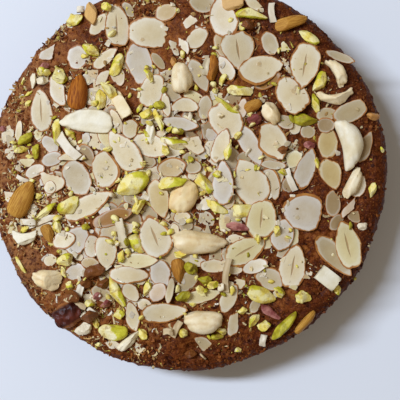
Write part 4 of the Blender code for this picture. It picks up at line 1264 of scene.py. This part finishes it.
slice_draw = random.Random(RANDOM_SEED)
slice_ground = Ground(SCENE_CELL)
low = bmesh.new()
for piece in under_slices(slice_draw) + shards(LOW_SHARDS, LOW_SHARD_SIZES, slice_draw):
    lay_on(slice_ground, piece, slice_mesh(piece, slice_draw, PLAIN_CORNERS, PLAIN_RINGS), low)
slices = bmesh.new()
for piece in SLICES:
    lay_on(slice_ground, piece, slice_mesh(piece, slice_draw, SLICE_CORNERS, SLICE_RINGS), slices)
for piece in shards(HIGH_SHARDS, HIGH_SHARD_SIZES, slice_draw):
    lay_on(slice_ground, piece, slice_mesh(piece, slice_draw, PLAIN_CORNERS, PLAIN_RINGS), slices)
slice_surface = slice_finish()
new_piece("almond_slices", slices, slice_surface)
new_piece("lower_slices", low, slice_surface)

# Almond slices and strips of nut that stand on their edge, wedged between those that lie flat. They
# have the slices' flesh and skin. A row is a strip's place, length, thickness and turn.
SLIVER_HEIGHT = 4.0 * MM
SLIVER_CUTS = 5
SLIVER_BOW = 0.10

Sliver = collections.namedtuple("Sliver", "u v length width turn")
SLIVERS = (
    Sliver(206, 67, 9, 3, 80),
    Sliver(272, 12, 10, 3, 95),
    Sliver(75, 303, 12, 3, -25),
    Sliver(176, 329, 9, 3, 62),
    Sliver(263, 341, 6, 3, 80),
    Sliver(22, 179, 6.5, 2, -25),
    Sliver(122, 233, 15, 4, -80),
    Sliver(68, 147, 16, 4.5, -50),
    Sliver(80, 289, 8, 3.5, 75),
    Sliver(93, 312, 6.5, 2.5, -35),
    Sliver(290, 180, 12, 3, -68),
    Sliver(226, 275, 17, 3, 85),
    Sliver(28, 222, 8, 3, 0),
    Sliver(168, 331, 5, 3, 0),
    Sliver(79, 7, 4, 3, 0),
    Sliver(203, 357, 4, 0.8, -45),
)


def sliver_mesh(piece, draw):
    """A strip on its edge: a bar with rounded corners, bent a little and lower at its ends."""
    bm = bmesh.new()
    bmesh.ops.create_cube(bm, size=1.0)
    bmesh.ops.subdivide_edges(bm, edges=bm.edges, cuts=SLIVER_CUTS, use_grid_fill=True)
    tint = bm.verts.layers.float_color.new("tint")
    colour = SLICE_COLOURS[draw.choice(("cream", "white", "tan"))]
    high = SLIVER_HEIGHT * draw.uniform(0.7, 1.0)
    bow = draw.uniform(-SLIVER_BOW, SLIVER_BOW) * piece.length
    seed = draw.uniform(0, 90)
    for vert in bm.verts:
        x, y, z = vert.co
        vert[tint] = (*colour, 1.0)
        rough = 1 + 0.25 * noise.noise(Vector((x * 4, y * 2, z * 3 + seed)))
        up = (z + 0.5) * high * (1 - 1.6 * x * x) * rough
        vert.co = (x * piece.length * MM, (y * piece.width * rough + bow * (4 * x * x - 0.3)) * MM, up)
    return bm


slivers = bmesh.new()
for piece in SLIVERS:
    lay_on(slice_ground, piece, sliver_mesh(piece, slice_draw), slivers)
new_piece("almond_slivers", slivers, slice_surface)

# Small pistachio pieces, and chips of cashew, almond, maroon skin and torn crust, chopped with flat
# faces and baked on between the slices. Those listed one by one come first, as place, length, width,
# turn and kind, and the smallest ones lie mostly where the slices leave a hollow.
BIT_CUTS = 6
BIT_CUT_DEPTHS = (0.48, 0.80)
BIT_FLATNESS = 0.95
BIT_HEIGHT_SHARE = 0.62
THICKEST_BIT = 6.0
NAMED_BIT_FINENESS = 4
SMALL_BIT_FINENESS = 2
SMALL_BITS = 760
SMALL_BITS_U = UNDER_U - 15
SMALL_BITS_SPREAD = 85
SMALL_BIT_LEAST = 1.4
SMALL_BIT_MORE = 4.2
OUTSIDE_HOLLOWS = 0.12
HOLLOW_REACH = 3.0 * MM
HOLLOW_DEPTH = 0.25 * MM
SMALL_BIT_MIX = {"yellow": 7, "green": 2, "nut": 1}

Bit = collections.namedtuple("Bit", "u v length width turn kind")
PISTACHIO_BITS = (
    Bit(66, 260, 9, 7, 20, "yellow"),
    Bit(58, 75, 10, 7, -47, "yellow"),
    Bit(73, 18, 10, 6.5, 33, "yellow"),
    Bit(92, 49, 10, 6.5, -30, "yellow"),
    Bit(82, 329, 9, 7, 0, "nut"),
    Bit(84, 316, 7, 6, 0, "nut"),
    Bit(255, 120, 7.5, 6, 0, "maroon"),
    Bit(374, 116, 7, 4.5, 0, "almond"),
    Bit(107, 8, 7, 4.5, -40, "yellow"),
    Bit(149, 75, 7.5, 4.5, -65, "yellow"),
    Bit(101, 100, 11, 5.5, 85, "yellow"),
    Bit(110, 92, 12, 6, -50, "yellow"),
    Bit(147, 114, 7, 6, 0, "yellow"),
    Bit(160, 122, 14, 4, -65, "yellow"),
    Bit(228, 151, 10.5, 4.5, 80, "yellow"),
    Bit(315, 103, 10, 5, -65, "yellow"),
    Bit(373, 190, 8, 4, 70, "yellow"),
    Bit(24, 138, 9, 6, 35, "green"),
    Bit(35, 151, 8.5, 4.5, 80, "green"),
    Bit(20, 150, 7, 4, 20, "yellow"),
    Bit(47, 211, 13, 4.5, 38, "yellow"),
    Bit(57, 226, 8, 4.5, -75, "yellow"),
    Bit(20, 266, 11, 2.5, -58, "yellow"),
    Bit(139, 206, 10, 5, 60, "yellow"),
    Bit(192, 268, 8.5, 6.5, -30, "green"),
    Bit(205, 281, 9, 6, -20, "green"),
    Bit(201, 290, 8, 4, -45, "yellow"),
    Bit(184, 297, 9, 6, 25, "green"),
    Bit(216, 337, 8, 3, 3, "green"),
    Bit(147, 289, 8, 4, 75, "yellow"),
    Bit(143, 335, 7, 4.5, -60, "yellow"),
    Bit(118, 315, 8, 5.5, 0, "yellow"),
    Bit(254, 320, 9, 4.5, 55, "yellow"),
    Bit(265, 326, 8, 6, 5, "yellow"),
    Bit(280, 293, 8, 5, -45, "yellow"),
    Bit(303, 298, 8, 7, 0, "yellow"),
    Bit(237, 227, 11, 5.5, -12, "maroon"),
    Bit(33, 79, 9, 4, 75, "nut"),
    Bit(178, 10, 2.5, 2.5, 0, "yellow"),
    Bit(243, 26, 5, 4.5, 0, "yellow"),
    Bit(223, 80, 6.5, 3.5, 65, "yellow"),
    Bit(215, 91, 3.5, 3, 0, "yellow"),
    Bit(159, 105, 6.5, 5, 0, "green"),
    Bit(170, 130, 5, 2.5, 30, "yellow"),
    Bit(179, 132, 5, 4, 0, "green"),
    Bit(165, 150, 6, 4, -60, "yellow"),
    Bit(108, 149, 5, 3, 0, "yellow"),
    Bit(217, 174, 4.5, 4, 0, "yellow"),
    Bit(237, 136, 5.5, 3.5, 35, "yellow"),
    Bit(281, 172, 5.5, 4, 0, "yellow"),
    Bit(317, 163, 6.5, 2.5, -80, "yellow"),
    Bit(384, 149, 4, 2, -70, "yellow"),
    Bit(27, 103, 5, 3, 45, "yellow"),
    Bit(70, 133, 6, 4, -45, "yellow"),
    Bit(32, 181, 4, 3, 0, "yellow"),
    Bit(38, 196, 4.5, 3.5, 0, "yellow"),
    Bit(67, 229, 3, 2.5, 0, "yellow"),
    Bit(86, 226, 5, 4, 0, "green"),
    Bit(63, 272, 6.5, 3, -60, "yellow"),
    Bit(69, 286, 5, 4, 80, "yellow"),
    Bit(122, 256, 6, 4, 80, "yellow"),
    Bit(117, 242, 4, 2, 0, "yellow"),
    Bit(180, 254, 6.5, 4, 0, "yellow"),
    Bit(277, 231, 6.5, 4.5, 70, "yellow"),
    Bit(213, 285, 6.5, 5, 0, "yellow"),
    Bit(193, 305, 4, 2.5, 0, "yellow"),
    Bit(222, 332, 6, 4, 0, "yellow"),
    Bit(183, 333, 5, 5, 0, "yellow"),
    Bit(96, 324, 5.5, 3.5, 85, "yellow"),
    Bit(98, 345, 4.5, 3, 0, "yellow"),
    Bit(90, 303, 5.5, 4.5, 0, "yellow"),
    Bit(243, 311, 5, 4, 0, "yellow"),
    Bit(338, 290, 6, 4, -60, "yellow"),
    Bit(238, 351, 4, 3, 0, "yellow"),
    Bit(28, 93, 5, 2, 40, "yellow"),
    Bit(22, 80, 4, 2, 70, "yellow"),
    Bit(363, 226, 5, 4.5, 0, "nut"),
    Bit(174, 62, 6, 4, 80, "almond"),
    Bit(43, 66, 6, 4, 20, "maroon"),
    Bit(2, 128, 4, 3, 0, "maroon"),
    Bit(310, 145, 6.5, 4, 0, "maroon"),
    Bit(42, 80, 6.5, 4.5, 0, "nut"),
    Bit(95, 272, 11, 8, 20, "cake"),
    Bit(104, 283, 7, 5, 30, "cake"),
    Bit(86, 283, 6, 5, 0, "cake"),
    Bit(90, 316, 9, 6, 0, "cake"),
    Bit(72, 296, 9, 6, -20, "cake"),
    Bit(106, 304, 6, 5, 40, "maroon"),
    Bit(97, 296, 5, 4, 10, "maroon"),
    Bit(248, 25, 7, 5, 10, "cake"),
    Bit(190, 355, 7, 5, 10, "cake"),
    Bit(282, 150, 6, 4, 10, "cake"),
)
BIT_TONES = {"yellow": 0.35, "green": 0.95, "maroon": -1.0, "nut": -2.0, "almond": -3.0, "cake": -4.0}


def bit_mesh(bit, draw, fineness):
    """A small chunk, cut or broken, with flat faces and sharp edges."""
    bm = bmesh.new()
    cut = bm.verts.layers.float.new("cut")
    bmesh.ops.create_icosphere(bm, subdivisions=fineness, radius=1.0)
    shift = Vector([draw.uniform(0, 50) for _ in range(3)])
    high = BIT_HEIGHT_SHARE * min(bit.width, THICKEST_BIT) * MM
    for _ in range(BIT_CUTS):
        away = Vector((draw.uniform(-1, 1), draw.uniform(-1, 1), draw.uniform(-0.2, 1))).normalized()
        keep = draw.uniform(*BIT_CUT_DEPTHS)
        for vert in bm.verts:
            over = vert.co.dot(away) - keep
            if over > 0:
                vert.co -= away * over * BIT_FLATNESS
                vert[cut] = min(1.0, vert[cut] + over / CUT_EDGE)
    for vert in bm.verts:
        rough = 1 + 0.20 * noise.noise(vert.co * 1.8 + shift) + 0.06 * noise.noise(vert.co * 6 + shift)
        x, y, z = vert.co * rough
        vert.co = (x * bit.length * MM / 2, y * bit.width * MM / 2, (z if z > 0 else 0.5 * z) * high)
    set_points(bm, "tone", [BIT_TONES[bit.kind]] * len(bm.verts))
    return bm


def in_hollow(x, y, ground):
    """Whether this spot lies lower than what is round it, as the gaps between slices do."""
    row, column = int(np.searchsorted(ground.line, y)), int(np.searchsorted(ground.line, x))
    reach = int(HOLLOW_REACH / SCENE_CELL)
    near = ground.height[max(0, row - reach):row + reach + 1, max(0, column - reach):column + reach + 1]
    return near.size > 0 and float(ground.height[row, column]) < float(near.mean()) - HOLLOW_DEPTH


bits = bmesh.new()
for bit in PISTACHIO_BITS:
    lay_on(slice_ground, bit, bit_mesh(bit, slice_draw, NAMED_BIT_FINENESS), bits)
for _ in range(SMALL_BITS):
    u, v = slice_draw.gauss(SMALL_BITS_U, SMALL_BITS_SPREAD), slice_draw.gauss(UNDER_V, SMALL_BITS_SPREAD)
    if in_bare_patch(u, v):
        continue
    if not in_hollow(*on_top(u, v), slice_ground) and slice_draw.random() >= OUTSIDE_HOLLOWS:
        continue
    kind = slice_draw.choices(list(SMALL_BIT_MIX), list(SMALL_BIT_MIX.values()))[0]
    long = SMALL_BIT_LEAST + SMALL_BIT_MORE * slice_draw.random() ** 1.6
    bit = Bit(u, v, long, long * slice_draw.uniform(0.4, 0.8), slice_draw.uniform(-180, 180), kind)
    lay_on(slice_ground, bit, bit_mesh(bit, slice_draw, SMALL_BIT_FINENESS), bits)
new_piece("pistachio_bits", bits, pistachio_surface)

# Shreds and crumbs: ground nut and broken crust, baked on all over the top between the slices. They
# are thickest on the left and along the lower rim, and a few stick out over the edge.
CRUMB_COUNT = 4200
SHRED_COUNT = 2000
BATCH = 100
LOWEST_CRUMB = RIM_HEIGHT - 0.8 * SHOULDER_DROP
CRUMB_LIFT = 0.1 * MM
COVERED_FROM = 0.6 * MM
ON_NUTS = 0.03
TILT_Y = 0.45
TILT_X = 0.3
USUAL_SHARE = 0.30
RIM_FROM = 0.75
HEAP_LEAST = 0.06
HEAP_MOST = 1.6
NUTTY_MIDDLE = -8 * MM
NUTTY_REACH = 72 * MM
NUTTY_SHARE = 0.32
CRUMB_SHADES = (0.75, 1.2)
# Painted shade on the crumbs towards the right, away from the light.
PAINTED_SHADE_RIGHT = 0.25
CRUMB_DARKER = (0.62, 0.55, 0.48)
SHRED_SEGMENTS = 6
SHRED_CUTS = 3

Spread = collections.namedtuple("Spread", "left lower bare_right")
CRUMB_SPREAD = Spread(0.3, 0.7, 0.0)
SHRED_SPREAD = Spread(0.9, -0.3, 0.5)
CRUMB_COLOURS = {
    "brown": (0.190, 0.045, 0.0075),
    "dark": (0.065, 0.0115, 0.0020),
    "red": (0.320, 0.098, 0.018),
    "tan": (0.560, 0.330, 0.110),
    "cream": (0.790, 0.620, 0.320),
    "white": (0.900, 0.820, 0.640),
    "yellow": (0.720, 0.570, 0.100),
    "green": (0.480, 0.430, 0.040),
}
CRUST_MIX = (46, 26, 22, 4, 1, 0, 1, 0)
NUT_MIX = (10, 4, 14, 28, 26, 8, 8, 2)
PALE_MIX = (0, 0, 2, 20, 40, 20, 14, 4)
SMOOTH_PATCHES = ((30, 268, 24, 30), (176, 352, 34, 12), (45, 60, 18, 12), (330, 45, 20, 14))
SMOOTH_CRUST = [(*on_top(u, v), wide * PIXEL, high * PIXEL) for u, v, wide, high in SMOOTH_PATCHES]


def crumb_finish():
    """Each crumb's own colour, with darker grain."""
    made = Finish("baked_crumb", 0.6, Specular_IOR_Level=0.12)
    fine = made.noise(900.0, 3.0)
    tint = made.attribute("tint", "Color")
    darker = made.mix(1.0, tint, CRUMB_DARKER, "MULTIPLY")
    made.colour(made.mix(made.between(fine, 0.35, 0.65), darker, tint))
    made.rough(fine, 0.45, 0.75)
    made.bump(fine, 0.2 * MM, 0.7)
    return made


def crumb_place(draw, spread):
    """A random place on the top, in heaps, and by the spread more often left or near the lower rim."""
    while True:
        azimuth = draw.uniform(0, math.tau)
        radius = float(outline_radius(azimuth)) * math.sqrt(draw.random())
        x, y = radius * math.cos(azimuth), radius * math.sin(azimuth)
        left = max(0.0, -x / CAKE_RADIUS)
        lower = max(0.0, -y / CAKE_RADIUS)
        rim = max(0.0, radius / CAKE_RADIUS - RIM_FROM) * 4
        right = max(0.0, x / CAKE_RADIUS + 0.2) * rim
        share = USUAL_SHARE + spread.left * left + spread.lower * lower * rim - spread.bare_right * right
        heap = noise.noise(Vector((x, y, 0.3)) * 75) + 0.6 * noise.noise(Vector((x, y, 0.7)) * 190)
        smooth = min(((x - at_x) / wide) ** 2 + ((y - at_y) / high) ** 2
                     for at_x, at_y, wide, high in SMOOTH_CRUST)
        heap = min(HEAP_MOST, max(HEAP_LEAST, 0.75 + 2.6 * heap))
        if draw.random() < share * heap * min(1.0, smooth):
            return x, y


def crumb_matrix(draw, x, y, ground):
    """Turned at random and set on what lies there, or mostly nothing where a nut covers the spot."""
    row = int(np.searchsorted(ground.line, y))
    column = int(np.searchsorted(ground.line, x))
    bare = float(top_height(x, y))
    covered = float(ground.height[row, column]) > bare + COVERED_FROM
    if bare < LOWEST_CRUMB or (covered and draw.random() > ON_NUTS):
        return None, covered
    height = float(ground.height[row, column]) if covered else bare
    turn = Matrix.Rotation(draw.uniform(0, math.tau), 4, "Z")
    tilt = Matrix.Rotation(draw.uniform(-TILT_Y, TILT_Y), 4, "Y")
    tilt = tilt @ Matrix.Rotation(draw.uniform(-TILT_X, TILT_X), 4, "X")
    return Matrix.Translation((x, y, height + CRUMB_LIFT)) @ turn @ tilt, covered


def crumb_tint(draw, right, weights):
    """A colour drawn by these weights, a little darker on the right as painted shade away from the light.
    """
    name = draw.choices(list(CRUMB_COLOURS), weights=weights)[0]
    # Random tone, and painted shade that darkens the crumbs towards the right, away from the light.
    shade = draw.uniform(*CRUMB_SHADES) * (1.0 - PAINTED_SHADE_RIGHT * max(0.0, right))
    return tuple(min(1.0, c * shade) for c in CRUMB_COLOURS[name])


def scatter(count, shape, spread, ground, draw):
    """Many small bodies as one mesh, joined batch by batch."""
    whole = bmesh.new()
    batch = bmesh.new()
    tint = batch.verts.layers.float_color.new("tint")
    placed = 0
    while placed < count:
        x, y = crumb_place(draw, spread)
        place, covered = crumb_matrix(draw, x, y, ground)
        if place is None:
            continue
        verts, mix = shape(batch, place, draw)
        in_middle = math.hypot(x - NUTTY_MIDDLE, y) < NUTTY_REACH
        if in_middle and draw.random() < NUTTY_SHARE:
            mix = NUT_MIX
        colour = crumb_tint(draw, x / CAKE_RADIUS, PALE_MIX if covered else mix)
        for vert in verts:
            vert[tint] = (*colour, 1.0)
        placed += 1
        if placed % BATCH == 0:
            add_to(whole, batch)
            batch = bmesh.new()
            tint = batch.verts.layers.float_color.new("tint")
    add_to(whole, batch)
    return whole


def crumb_shape(bm, place, draw):
    """A small lump, most often a quarter of a millimetre and seldom one millimetre in radius."""
    size = (0.22 + 0.85 * draw.random() ** 2.2) * MM
    long, wide = size * draw.uniform(0.8, 1.7), size * draw.uniform(0.7, 1.2)
    scale = Matrix.Diagonal((long, wide, size * 0.75, 1.0))
    verts = bmesh.ops.create_icosphere(bm, subdivisions=1, radius=1.0, matrix=place @ scale)["verts"]
    for vert in verts:
        vert.co += Vector([draw.uniform(-0.22, 0.22) * size for _ in range(3)])
    return verts, CRUST_MIX


def shred_shape(bm, place, draw):
    """A thin flake: long or broad, curved and wavy, thinner towards its edges."""
    length = (1.0 + 4.6 * draw.random() ** 2) * MM
    width = draw.uniform(0.35, 1.0) * (0.5 * MM + 0.25 * length)
    high = draw.uniform(0.22, 0.42) * MM
    bow = draw.uniform(-0.2, 0.2) * length
    lift = draw.uniform(0.0, 0.5) * MM
    before = len(bm.verts)
    tip = draw.uniform(0.1, 0.4)
    bmesh.ops.create_cone(bm, cap_ends=True, segments=SHRED_SEGMENTS, radius1=0.5, radius2=tip, depth=1.0)
    sides = {e for v in list(bm.verts)[before:] for e in v.link_edges}
    sides = [e for e in sides if abs(e.verts[0].co.z - e.verts[1].co.z) > 0.5]
    bmesh.ops.subdivide_edges(bm, edges=sides, cuts=SHRED_CUTS)
    verts = list(bm.verts)[before:]
    for vert in verts:
        y, z, x = vert.co
        y += draw.uniform(-0.12, 0.12)
        vert.co = (x * length, y * width + bow * (4 * x * x - 0.4), (z + 0.3) * high + lift * 4 * x * x)
    bmesh.ops.transform(bm, matrix=place, verts=verts)
    return verts, NUT_MIX


scatter_draw = random.Random(RANDOM_SEED + 1)
crumb_surface = crumb_finish()
crumbs = scatter(CRUMB_COUNT, crumb_shape, CRUMB_SPREAD, slice_ground, scatter_draw)
new_piece("crumbs", crumbs, crumb_surface)
shreds = scatter(SHRED_COUNT, shred_shape, SHRED_SPREAD, slice_ground, scatter_draw)
new_piece("shreds", shreds, crumb_surface)
